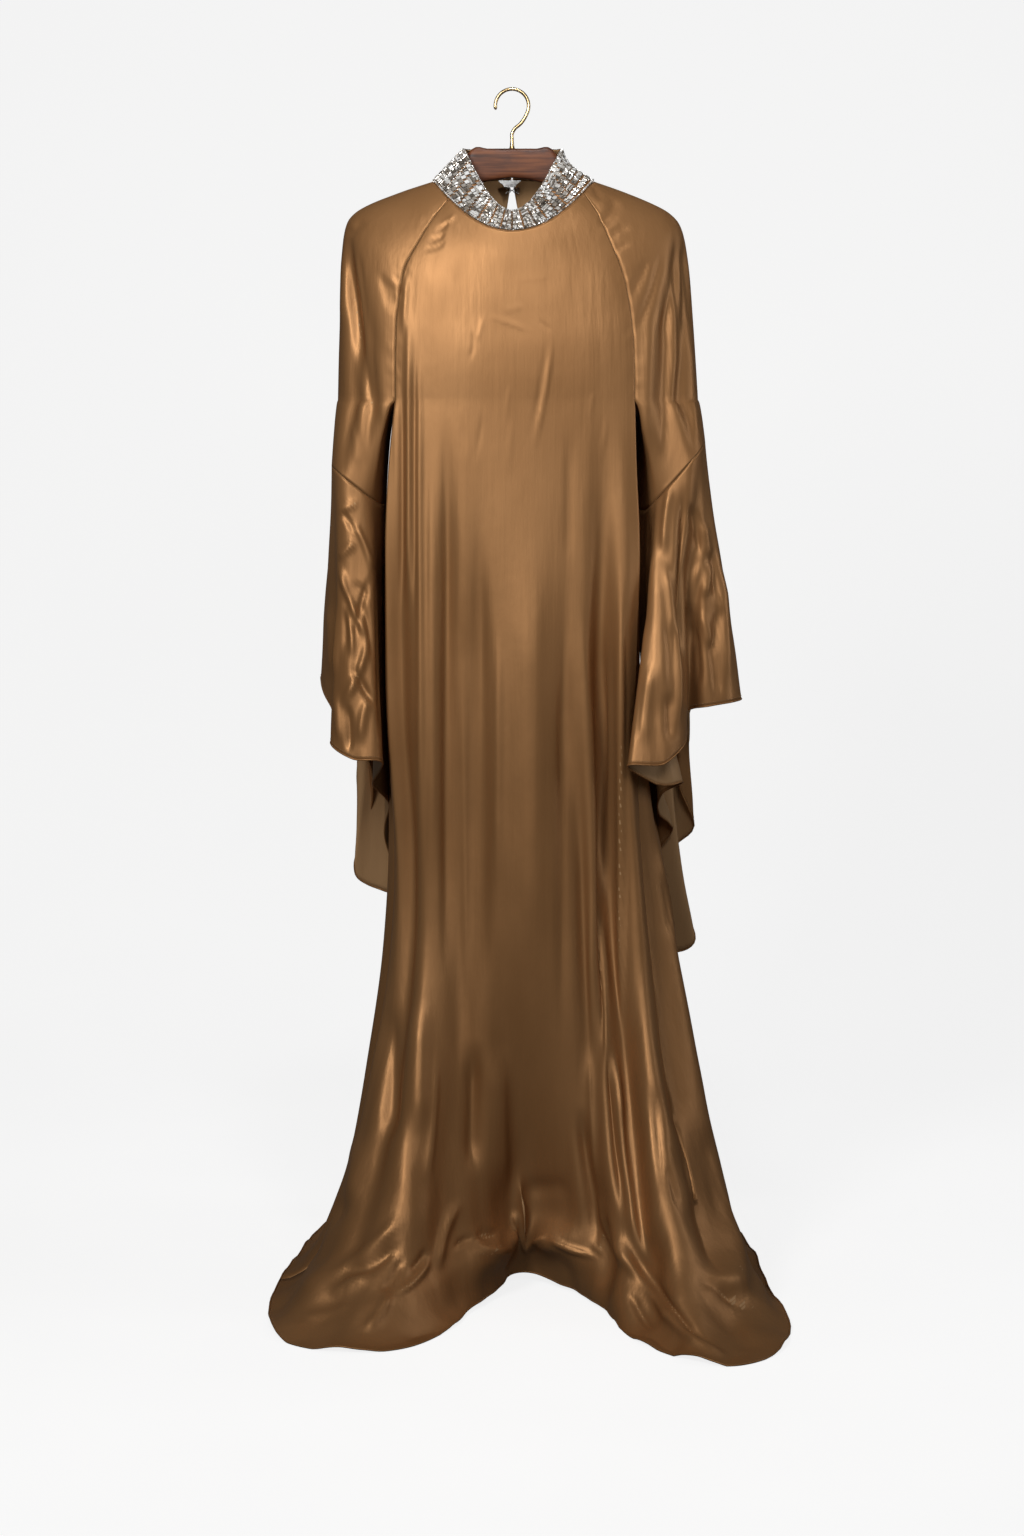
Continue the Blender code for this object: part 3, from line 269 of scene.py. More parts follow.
# Buckles where the cloth meets the floor: a ridge or trough across the columns, at a height.
BUCKLES = table("angle height depth half_angle half_height", [
    (-2, 0.105, 0.020, 3.0, 0.034),
    (-12, 0.062, 0.016, 7.0, 0.024),
    (10, 0.068, 0.026, 9.0, 0.026),
    (24, 0.075, -0.016, 5.0, 0.040),
    (-38, 0.085, -0.010, 9.0, 0.030),
    (44, 0.070, -0.012, 9.0, 0.035),
    (-58, 0.040, 0.009, 8.0, 0.020),
    (60, 0.060, 0.010, 8.0, 0.025),
])

# Folds of the raglan sleeves, by ring angle from the front centre on the sleeve's own side.
SLEEVE_FOLDS = table("side top low starts depth half_width", [
    (1, 74, 62, 0.42, -0.008, 5.0),
    (1, 62, 50, 0.50, -0.006, 4.5),
    (1, 112, 122, 0.45, -0.008, 7.0),
    (-1, 76, 60, 0.42, -0.009, 5.5),
    (-1, 57, 47, 0.58, -0.005, 4.0),
    (-1, 110, 120, 0.45, -0.008, 7.0),
])

# How late a flounce spreads below the elbow, by share of the way round it: 1 is straight.
FLARE = table("share power", [
    (0.00, 1.15),
    (0.48, 1.15),
    (0.52, 2.60),
    (0.62, 2.60),
    (0.70, 1.15),
    (0.76, 1.15),
    (0.82, 2.60),
    (0.93, 2.60),
    (1.00, 1.15),
])

# The seam between sleeve and flounce: where it lies at the body side and at the outer side. lean is
# how far its inner side comes in towards the body at the back.
ELBOW = table("side inner outer front back h_inner h_outer lean", [
    (1, 0.168, 0.246, 0.078, 0.074, 0.994, 1.082, 0.014),
    (-1, 0.165, 0.230, 0.074, 0.072, 1.002, 1.052, 0.007),
])

# The flounce hems, from the inner front corner outwards and round the back. share is the way round.
RIGHT_HEM = table("share x y h", [
    (0.00, 0.150, -0.132, 0.674),
    (0.06, 0.190, -0.142, 0.683),
    (0.12, 0.217, -0.108, 0.707),
    (0.18, 0.222, -0.050, 0.738),
    (0.24, 0.251, -0.064, 0.748),
    (0.29, 0.291, -0.040, 0.753),
    (0.34, 0.288, 0.020, 0.752),
    (0.40, 0.256, 0.052, 0.752),
    (0.45, 0.240, 0.094, 0.745),
    (0.485, 0.218, 0.098, 0.640),
    (0.52, 0.242, 0.122, 0.566),
    (0.55, 0.216, 0.134, 0.532),
    (0.575, 0.220, 0.116, 0.486),
    (0.61, 0.245, 0.098, 0.422),
    (0.655, 0.207, 0.100, 0.404),
    (0.70, 0.181, 0.100, 0.466),
    (0.745, 0.193, 0.091, 0.508),
    (0.79, 0.188, 0.083, 0.530),
    (0.83, 0.209, 0.052, 0.574),
    (0.87, 0.190, 0.014, 0.600),
    (0.91, 0.188, -0.034, 0.630),
    (0.95, 0.216, -0.076, 0.652),
    (0.98, 0.184, -0.100, 0.652),
])

LEFT_HEM = table("share x y h", [
    (0.00, 0.164, -0.108, 0.680),
    (0.08, 0.200, -0.122, 0.687),
    (0.16, 0.228, -0.098, 0.702),
    (0.24, 0.219, -0.044, 0.722),
    (0.32, 0.240, 0.006, 0.756),
    (0.39, 0.248, 0.050, 0.773),
    (0.45, 0.222, 0.066, 0.725),
    (0.51, 0.187, 0.072, 0.650),
    (0.56, 0.191, 0.100, 0.585),
    (0.61, 0.210, 0.108, 0.518),
    (0.67, 0.194, 0.116, 0.490),
    (0.74, 0.150, 0.106, 0.488),
    (0.80, 0.168, 0.072, 0.560),
    (0.87, 0.163, 0.026, 0.610),
    (0.94, 0.178, -0.034, 0.645),
])

# The wooden hanger, as sections out from its centre.
HANGER = table("x top bottom half_thickness", [
    (0.000, 1.4490, 1.4130, 0.0085),
    (0.030, 1.4490, 1.4085, 0.0085),
    (0.050, 1.4488, 1.4030, 0.0085),
    (0.0555, 1.4430, 1.4010, 0.0085),
    (0.066, 1.4330, 1.3955, 0.0085),
    (0.082, 1.4170, 1.3860, 0.0085),
    (0.100, 1.4045, 1.3750, 0.0090),
    (0.140, 1.3920, 1.3560, 0.0100),
    (0.170, 1.3800, 1.3430, 0.0110),
    (0.190, 1.3695, 1.3380, 0.0110),
    (0.199, 1.3610, 1.3400, 0.0090),
    (0.203, 1.3540, 1.3450, 0.0050),
])


def smooth(values, key, column, at):
    """A column's value at the key, on a cubic curve through the table's rows."""
    order = np.argsort(values[key])
    x, y = values[key][order], values[column][order]
    at = np.clip(np.asarray(at, float), x[0], x[-1])
    slope = np.gradient(y, x)
    n = np.clip(np.searchsorted(x, at, side="right") - 1, 0, len(x) - 2)
    width = x[n + 1] - x[n]
    u = (at - x[n]) / width
    start = (1 + 2 * u) * (1 - u) ** 2 * y[n] + u * (1 - u) ** 2 * width * slope[n]
    end = u * u * (3 - 2 * u) * y[n + 1] + u * u * (u - 1) * width * slope[n + 1]
    return start + end


def around(values, key, column, at, period):
    """As smooth, for a closed curve whose key repeats after the period."""
    turn = np.concatenate([values[key] - period, values[key], values[key] + period])
    levels = np.tile(values[column], 3)
    kept = np.concatenate([[True], np.diff(turn) > 1e-6])
    return smooth({"key": turn[kept], "value": levels[kept]}, "key", "value", at)


def ease(share):
    """0 to 1 with level ends."""
    share = np.clip(share, 0.0, 1.0)
    return share * share * (3 - 2 * share)


def mix(a, b, share):
    return a + (b - a) * share


def stack(x, y, h):
    x, y, h = np.broadcast_arrays(x, y, h)
    return np.stack([x, y, h], -1)


# The yoke

def yoke_power(share):
    """How square the yoke's rings are: 1 is an oval."""
    return mix(1.0, 0.85, share)


def yoke_size(name, share):
    return smooth(YOKE, "share", name, share)


def yoke_ring(angle, share):
    """A point of the yoke at a ring angle in degrees, 0 at the front centre and 90 at the right."""
    sine, cosine = np.sin(np.radians(angle)), np.cos(np.radians(angle))
    power = yoke_power(share)
    left, right, front, back = (yoke_size(name, share) for name in ("left", "right", "front", "back"))
    half = np.where(sine >= 0, right, left)
    depth = np.where(cosine >= 0, -front, back)
    end = np.where(cosine >= 0, yoke_size("h_front", share), yoke_size("h_back", share))
    x = half * np.sign(sine) * np.abs(sine) ** power
    y = depth * np.abs(cosine) ** power
    side = yoke_size("h_side", share)
    return stack(x, y, side + (end - side) * cosine**2)


def ring_angle(x, share, back=False):
    """The ring angle at which the yoke has this x."""
    x, share = np.broadcast_arrays(np.asarray(x, float), np.asarray(share, float))
    half = np.where(x >= 0, yoke_size("right", share), yoke_size("left", share))
    sine = np.clip(np.abs(x) / half, 0, 1) ** (1 / yoke_power(share))
    angle = np.degrees(np.arcsin(sine)) * np.where(x >= 0, 1, -1)
    return 180 - angle if back else angle


def raglan(name, share):
    return smooth(RAGLAN, "share", name, share)


def panel_yoke(across, share, back):
    """The front or back panel above the underarm. across runs 0 to 1 as the column angle grows."""
    if back:
        x = mix(raglan("back_right", share), -raglan("back_left", share), across)
        column = mix(BACK_CORNER, 360 - BACK_CORNER, across)
    else:
        x = mix(-raglan("front_left", share), raglan("front_right", share), across)
        column = mix(-FRONT_CORNER, FRONT_CORNER, across)
    upper = yoke_ring(ring_angle(x, share, back), share)
    lower = body_ring(column, upper[..., 2])
    weight = ease((np.asarray(share) - 0.55) / 0.45)[..., None]
    return mix(upper, lower, weight * np.ones_like(upper))


def sleeve_angles(side, across, share):
    """Ring angles of a sleeve's columns, with the middle column on the shoulder line."""
    if side > 0:
        start = ring_angle(raglan("front_right", share), share)
        middle = 90.0
        end = ring_angle(raglan("back_right", share), share, back=True)
    else:
        start = ring_angle(-raglan("back_left", share), share, back=True)
        middle = 270.0
        end = 360 + ring_angle(-raglan("front_left", share), share)
    first = mix(start, middle, np.clip(across * 2, 0, 1))
    return np.where(across <= 0.5, first, mix(middle, end, np.clip(across * 2 - 1, 0, 1)))


def sleeve_yoke(side, across, share):
    """The outer part of a sleeve above the underarm, meeting the panels at its two raglan seams."""
    point = yoke_ring(sleeve_angles(side, across, share), share)
    zero, one = np.zeros_like(across), np.ones_like(across)
    if side > 0:
        first, last = panel_yoke(one, share, False), panel_yoke(zero, share, True)
    else:
        first, last = panel_yoke(one, share, True), panel_yoke(zero, share, False)
    start = first - yoke_ring(sleeve_angles(side, zero, share), share)
    end = last - yoke_ring(sleeve_angles(side, one, share), share)
    near = ease(1 - across / 0.4)[..., None]
    far = ease((across - 0.6) / 0.4)[..., None]
    return point + start * near + end * far


# The body below the underarm

def body_ring(angle, height):
    """A point of the body at a column angle in degrees: flat-sided near the underarm, oval at the skirt."""
    angle, height = np.broadcast_arrays(np.asarray(angle, float), np.asarray(height, float))
    angle = (angle + FRONT_CORNER) % 360 - FRONT_CORNER
    left, right = (smooth(BODY, "height", name, height) for name in ("left", "right"))
    front, back = (smooth(BODY, "height", name, height) for name in ("front", "back"))
    bend = math.sqrt(1 - CORNER_DEPTH**2)

    across = (angle + FRONT_CORNER) / (2 * FRONT_CORNER)
    front_x = mix(-left, right, across)
    front_y = -front * np.sqrt(np.clip(1 - (bend * (2 * across - 1)) ** 2, 0, 1))

    behind = (angle - BACK_CORNER) / (360 - 2 * BACK_CORNER)
    back_x = mix(right, -left, behind)
    back_y = back * np.sqrt(np.clip(1 - (bend * (2 * behind - 1)) ** 2, 0, 1))

    span = BACK_CORNER - FRONT_CORNER
    right_way = (angle - FRONT_CORNER) / span
    left_way = (angle - (360 - BACK_CORNER)) / span
    wall_right = mix(-front * CORNER_DEPTH, back * CORNER_DEPTH, right_way)
    wall_left = mix(back * CORNER_DEPTH, -front * CORNER_DEPTH, left_way)

    zones = [angle <= FRONT_CORNER, angle < BACK_CORNER, angle <= 360 - BACK_CORNER]
    flat_x = np.select(zones, [front_x, right, back_x], -left)
    flat_y = np.select(zones, [front_y, wall_right, back_y], wall_left)

    sine, cosine = np.sin(np.radians(angle)), np.cos(np.radians(angle))
    oval_x = np.where(sine >= 0, right, left) * sine
    oval_y = -np.where(cosine >= 0, front, back) * cosine
    share = smooth(BODY, "height", "round", height)
    return stack(mix(flat_x, oval_x, share), mix(flat_y, oval_y, share), height)


def sweep(angle, share):
    """The skirt from SKIRT_TOP (share 0) down and out to its hem on the floor (share 1)."""
    angle, share = np.broadcast_arrays(np.asarray(angle, float), np.asarray(share, float))
    turned = (angle + 150) % 360 - 150
    start = body_ring(angle, SKIRT_TOP)
    step = 0.04
    slope = (body_ring(angle, SKIRT_TOP - step) - body_ring(angle, SKIRT_TOP + step)) / (2 * step)
    hem = stack(*(around(HEM, "angle", name, turned, 360.0) for name in ("x", "y")), 0.0)
    hem[..., 2] = CLOTH + FLOOR_LIFT + around(HEM, "angle", "rise", turned, 360.0)
    out = hem - start
    out[..., 2] = 0
    reach = np.linalg.norm(out, axis=-1, keepdims=True)
    upright = 1 - ease(reach / SWEEP_REACH)
    first = start + slope * SWEEP_FALL
    second = hem - out * around(HEM, "angle", "hug", turned, 360.0)[..., None]
    second[..., 2:] += SWEEP_DROP * upright
    s = share[..., None]
    return start * (1 - s) ** 3 + 3 * first * s * (1 - s) ** 2 + 3 * second * s * s * (1 - s) + hem * s**3


def fold_depth(angle, level):
    """How far the folds push the body's wall out. level is the height, or its stand-in on the sweep."""
    total = np.zeros(np.broadcast(angle, level).shape)
    for top, hem, starts, full, depth, half in zip(*(FOLDS[name] for name in FOLDS)):
        centre = mix(hem, top, np.clip(level / 1.1, 0, 1))
        off = (angle - centre + 180) % 360 - 180
        grown = ease((starts - level) / (starts - full))
        flat = mix(0.35, 1.0, ease(level / 0.14))
        total = total + depth * grown * flat * np.exp(-((off / half) ** 2))
    return total


def buckle_depth(angle, height):
    """How far the buckles near the floor push the skirt out. height is the cloth's own height there."""
    total = np.zeros(np.broadcast(angle, height).shape)
    for centre, at, depth, half, tall in zip(*(BUCKLES[name] for name in BUCKLES)):
        off = (angle - centre + 180) % 360 - 180
        total = total + depth * np.exp(-((off / half) ** 2) - ((height - at) / tall) ** 2)
    return total


def sleeve_fold_depth(side, angle, share):
    """The same for the raglan sleeves, by ring angle and the share of the way down the yoke."""
    own = angle if side > 0 else 360 - angle
    total = np.zeros(np.broadcast(own, share).shape)
    for fold_side, top, low, starts, depth, half in zip(*(SLEEVE_FOLDS[name] for name in SLEEVE_FOLDS)):
        if fold_side == side:
            centre = mix(top, low, np.clip((share - starts) / (1 - starts), 0, 1.4))
            grown = ease((share - starts) / 0.3)
            total = total + depth * grown * np.exp(-(((own - centre) / half) ** 2))
    return total


# The sleeves below the underarm

def elbow_ring(side, turn):
    """The seam between sleeve and flounce. turn runs 0 to 1 from the inner front corner outwards."""
    row = list(ELBOW["side"]).index(side)
    names = "inner outer front back h_inner h_outer lean".split()
    inner, outer, front, back, low, high, lean = (ELBOW[name][row] for name in names)
    angle = 2 * math.pi * (turn - 0.34) + 0.5 * np.sin(2 * math.pi * turn) * 0.12
    along = 0.5 + 0.5 * np.sign(np.cos(angle)) * np.abs(np.cos(angle)) ** 0.7
    depth = np.sign(np.sin(angle)) * np.abs(np.sin(angle)) ** 0.7
    x = mix(inner - lean * np.clip(depth + 0.2, 0, 1), outer, along)
    y = np.where(depth < 0, front, back) * depth
    return stack(side * x, y, mix(low, high, along))


def ruffle(side, turn, down):
    """A flounce from the elbow seam (down 0) to its hem (down 1)."""
    values = RIGHT_HEM if side > 0 else LEFT_HEM
    hem = stack(*(around(values, "share", name, turn % 1.0, 1.0) for name in ("x", "y", "h")))
    hem[..., 0] *= side
    top = elbow_ring(side, turn)
    spread = np.asarray(down)[..., None] * np.array([1.0, 1.0, 1.0])
    spread[..., :2] = spread[..., :2] ** np.interp(turn, FLARE["share"], FLARE["power"])[..., None]
    return mix(top, hem, spread)


# The front's creases, placed on the photo's own pixels: from one end (x1, y1) to the other
# (x2, y2), bowed sideways by bend. width is how far a flank reaches. depth is in millimetres, over 0 for
# a ridge. lean makes one flank steeper. Each group starts with the gain that its depths are multiplied by.
FRONT_CREASES = [
    # Left sleeve
    (1.3, [
        (349, 251, 376, 430, -3, 4.5, -5.0, 0.3),
        (346, 240, 343, 330, 0, 4.0, 2.0, 0.0),
        (357, 246, 366, 335, 1, 2.2, -1.8, 0.0),
        (379, 270, 391, 315, 1, 3.0, -1.2, 0.0),
        (387, 278, 399, 318, 1, 3.0, -1.2, 0.0),
        (396, 272, 402, 300, 0, 2.0, -1.0, 0.0),
        (349, 238, 364, 218, 0, 4.0, -1.5, 0.0),
        (407, 270, 403, 335, 0, 3.0, 1.5, 0.0),
        (372, 330, 384, 440, 2, 4.0, 1.5, 0.0),
        (362, 330, 366, 470, -2, 5.0, 2.0, 0.0),
        (352, 420, 357, 470, 1, 2.5, 1.0, 0.0),
    ]),
    # Right sleeve
    (1.3, [
        (684, 232, 684, 345, 2, 6.0, -5.5, 0.2),
        (677, 238, 661, 345, 3, 4.5, -4.0, 0.0),
        (662, 249, 634, 335, 4, 3.0, -2.5, 0.0),
        (648, 256, 629, 300, 2, 2.5, -2.0, 0.0),
        (640, 262, 632, 290, 1, 2.0, -1.2, 0.0),
        (593, 182, 600, 201, 0, 2.5, -2.0, 0.0),
        (617, 196, 600, 226, 3, 4.5, -3.0, 0.0),
        (630, 227, 609, 238, -2, 2.5, -1.5, 0.0),
        (630, 244, 614, 250, -1, 2.0, -1.2, 0.0),
        (676, 245, 672, 400, 2, 4.0, 2.5, 0.0),
        (668, 300, 662, 480, 1, 5.0, -2.5, 0.0),
        (652, 300, 646, 470, -2, 6.0, 3.0, 0.0),
        (690, 330, 697, 450, 0, 3.0, 1.5, 0.0),
    ]),
    # Raglan puckers on the front
    (1.4, [
        (434, 230, 449, 220, -2, 2.5, -1.4, 0.0),
        (427, 239, 446, 233, -2, 2.5, -1.5, 0.0),
        (422, 248, 447, 239, -3, 2.0, -0.8, 0.0),
        (440, 224, 455, 216, 0, 2.0, 1.0, 0.0),
    ]),
    # Chest
    (0.8, [
        (543, 262, 570, 264, -4, 1.5, -0.5, 0.0),
        (500, 280, 562, 271, -3, 1.8, 0.5, 0.0),
        (486, 316, 530, 331, 1, 1.6, 0.6, 0.0),
        (500, 308, 526, 304, -2, 1.6, 0.5, 0.0),
        (536, 320, 553, 331, 0, 1.5, -0.5, 0.0),
        (472, 330, 468, 362, 3, 2.0, -0.8, 0.0),
        (484, 315, 477, 342, 1, 2.0, 0.6, 0.0),
        (552, 335, 532, 450, 3, 2.4, 1.3, 0.0),
        (546, 338, 528, 440, 3, 2.6, -0.8, 0.0),
        (461, 420, 467, 450, 0, 1.8, -0.7, 0.0),
        (482, 418, 475, 455, 1, 2.0, -0.9, 0.0),
        (512, 420, 508, 470, 0, 3.0, 0.6, 0.0),
        (569, 430, 569, 570, 0, 5.0, -1.6, 0.0),
        (594, 392, 588, 418, 0, 2.0, 0.6, 0.0),
        (607, 418, 597, 460, 2, 2.0, 0.8, 0.0),
        (566, 481, 609, 492, 1, 1.4, 0.4, 0.0),
        (510, 385, 504, 420, 1, 2.0, 0.5, 0.0),
    ]),
    # Front folds down the body
    (1.8, [
        (408, 300, 410, 620, 0, 4.5, 3.0, 0.2),
        (402, 370, 402, 620, 0, 3.0, -2.2, 0.0),
        (419, 310, 421, 900, 0, 3.5, 1.8, 0.0),
        (414, 330, 415, 640, 0, 2.5, -1.6, 0.0),
        (446, 410, 446, 1000, 0, 7.0, -4.5, 0.3),
        (432, 440, 432, 900, 0, 5.0, 1.5, 0.0),
        (478, 500, 482, 1020, 2, 8.0, -3.0, 0.0),
        (534, 520, 530, 1000, 0, 14.0, 3.0, 0.0),
        (566, 560, 562, 1080, 0, 7.0, -3.0, 0.0),
        (582, 600, 596, 1090, 2, 6.0, 4.0, 0.0),
        (603, 620, 601, 1100, 0, 4.0, -6.0, -0.3),
        (622, 560, 622, 1060, 0, 4.0, 5.0, -0.4),
        (498, 620, 497, 900, 1, 5.0, 1.5, 0.0),
        (462, 640, 466, 1020, 1, 6.0, 2.0, 0.0),
    ]),
    # Lower left of the skirt
    (1.6, [
        (391, 1000, 391, 1150, 0, 9.0, -6.0, 0.0),
        (420, 1000, 418, 1140, 0, 9.0, 4.0, 0.0),
        (436, 1040, 427, 1195, 2, 4.0, 2.0, 0.0),
        (473, 1040, 474, 1180, 0, 8.0, -6.0, 0.0),
        (498, 1040, 500, 1205, 0, 10.0, 4.5, 0.0),
        (326, 1280, 403, 1213, -6, 6.0, 4.0, 0.0),
        (342, 1276, 402, 1243, -4, 5.0, -4.0, 0.0),
        (326, 1297, 370, 1270, -2, 5.0, 3.5, 0.0),
        (403, 1256, 381, 1292, 3, 4.0, -4.0, 0.0),
        (431, 1256, 391, 1296, 6, 3.5, 3.5, 0.0),
        (391, 1288, 362, 1334, 4, 5.0, 4.0, 0.0),
        (427, 1248, 408, 1273, 2, 3.5, -3.0, 0.0),
        (461, 1198, 438, 1275, -5, 4.5, 4.0, 0.0),
        (455, 1250, 478, 1248, 9, 3.0, -3.0, 0.0),
        (475, 1247, 516, 1249, -3, 3.0, 3.5, 0.0),
        (475, 1233, 500, 1234, -2, 5.0, -3.0, 0.0),
        (515, 1208, 512, 1251, 0, 3.5, 4.0, 0.0),
        (516, 1208, 529, 1260, -2, 3.0, 3.0, 0.0),
        (300, 1320, 352, 1300, -3, 5.0, 2.5, 0.0),
        (310, 1240, 350, 1195, -2, 6.0, -2.5, 0.0),
        (340, 1150, 330, 1230, 2, 8.0, -3.5, 0.0),
        (360, 1130, 352, 1210, 0, 7.0, 3.0, 0.0),
    ]),
    # Lower right of the skirt
    (1.6, [
        (616, 1040, 646, 1276, -7, 5.0, 7.0, -0.4),
        (640, 1262, 736, 1360, -16, 5.0, 6.0, -0.3),
        (609, 1040, 628, 1225, -5, 5.0, -8.0, 0.0),
        (626, 1216, 732, 1358, -22, 6.0, -5.0, 0.0),
        (590, 1040, 602, 1200, -2, 7.0, 4.0, 0.0),
        (598, 1190, 648, 1288, -8, 6.0, 4.0, 0.0),
        (581, 1105, 600, 1250, -2, 6.0, -7.0, 0.0),
        (525, 1254, 548, 1236, 3, 3.0, 3.0, 0.0),
        (546, 1238, 597, 1256, -3, 3.0, 3.5, 0.0),
        (597, 1256, 603, 1228, -3, 3.0, 3.0, 0.0),
        (521, 1190, 572, 1187, 0, 10.0, -2.5, 0.0),
        (667, 1160, 680, 1212, 0, 3.0, -2.0, 0.0),
        (700, 1292, 756, 1280, 4, 12.0, 4.0, 0.0),
        (696, 1274, 765, 1311, -5, 5.0, -4.0, 0.0),
        (630, 1290, 653, 1332, -2, 3.0, -3.0, 0.0),
        (655, 1080, 662, 1200, 0, 7.0, -3.5, 0.0),
        (680, 1100, 696, 1220, -2, 8.0, 4.0, 0.0),
        (705, 1120, 728, 1240, -2, 7.0, -4.0, 0.0),
        (724, 1180, 752, 1290, -3, 7.0, 3.5, 0.0),
    ]),
    # Left flounce
    (1.7, [
        (336, 512, 360, 501, 0, 2.5, 1.6, 0.0),
        (340, 510, 356, 532, 0, 2.5, -1.8, 0.0),
        (336, 560, 357, 540, 0, 3.0, 2.0, 0.0),
        (337, 560, 368, 640, -3, 3.5, 3.0, 0.0),
        (368, 635, 341, 706, 5, 3.5, 2.5, 0.0),
        (353, 665, 378, 708, -2, 3.5, -3.0, 0.0),
        (348, 580, 345, 660, 0, 5.0, -2.0, 0.0),
        (352, 520, 372, 575, 3, 3.0, 2.4, 0.0),
        (372, 575, 356, 640, -3, 3.0, -2.0, 0.0),
        (343, 600, 352, 660, 2, 3.0, 2.2, 0.0),
        (330, 600, 333, 680, 1, 4.0, 2.4, 0.0),
        (362, 600, 372, 665, 2, 3.0, -2.0, 0.0),
        (372, 690, 360, 745, -3, 4.0, 2.4, 0.0),
        (345, 700, 348, 755, 2, 4.0, -3.0, 0.0),
        (336, 690, 339, 745, 0, 3.0, 2.0, 0.0),
        (380, 540, 381, 750, 0, 4.0, -3.5, 0.0),
        (352, 585, 371, 600, 2, 2.5, -1.4, 0.0),
        (366, 780, 360, 860, 2, 4.0, -2.5, 0.0),
        (376, 775, 374, 880, 0, 4.0, 2.4, 0.0),
    ]),
    # Right flounce
    (1.7, [
        (683, 480, 684, 680, 0, 7.0, -9.0, 0.3),
        (660, 540, 657, 720, 0, 12.0, 5.0, 0.0),
        (714, 545, 719, 606, -1, 3.0, -3.0, 0.0),
        (719, 604, 711, 658, 1, 3.0, -3.0, 0.0),
        (704, 520, 710, 560, 0, 4.0, 2.5, 0.0),
        (712, 560, 704, 600, 0, 4.0, 2.5, 0.0),
        (700, 610, 712, 650, 0, 4.0, 2.0, 0.0),
        (664, 620, 668, 690, 2, 2.5, -1.5, 0.0),
        (650, 560, 646, 640, 0, 3.0, -1.2, 0.0),
        (672, 480, 664, 560, -2, 4.0, 3.0, 0.0),
        (664, 560, 672, 640, 3, 4.0, 2.4, 0.0),
        (690, 500, 700, 560, 2, 3.0, -2.4, 0.0),
        (700, 560, 692, 620, -2, 3.0, 2.4, 0.0),
        (692, 620, 700, 690, 2, 3.0, -2.4, 0.0),
        (720, 560, 726, 690, 1, 4.0, 3.0, 0.0),
        (708, 640, 716, 700, 2, 3.0, -2.4, 0.0),
        (652, 660, 645, 750, -2, 4.0, 3.0, 0.0),
        (668, 690, 670, 745, 0, 4.0, -3.0, 0.0),
        (678, 600, 676, 735, 1, 3.0, 3.4, 0.0),
        (655, 500, 648, 560, -2, 2.5, -1.5, 0.0),
        (660, 790, 668, 860, 2, 4.0, -3.0, 0.0),
        (672, 790, 686, 830, 1, 4.0, 3.0, 0.0),
        (668, 860, 684, 930, 3, 4.0, 3.0, 0.0),
        (664, 870, 672, 940, 2, 3.0, -3.0, 0.0),
    ]),
]

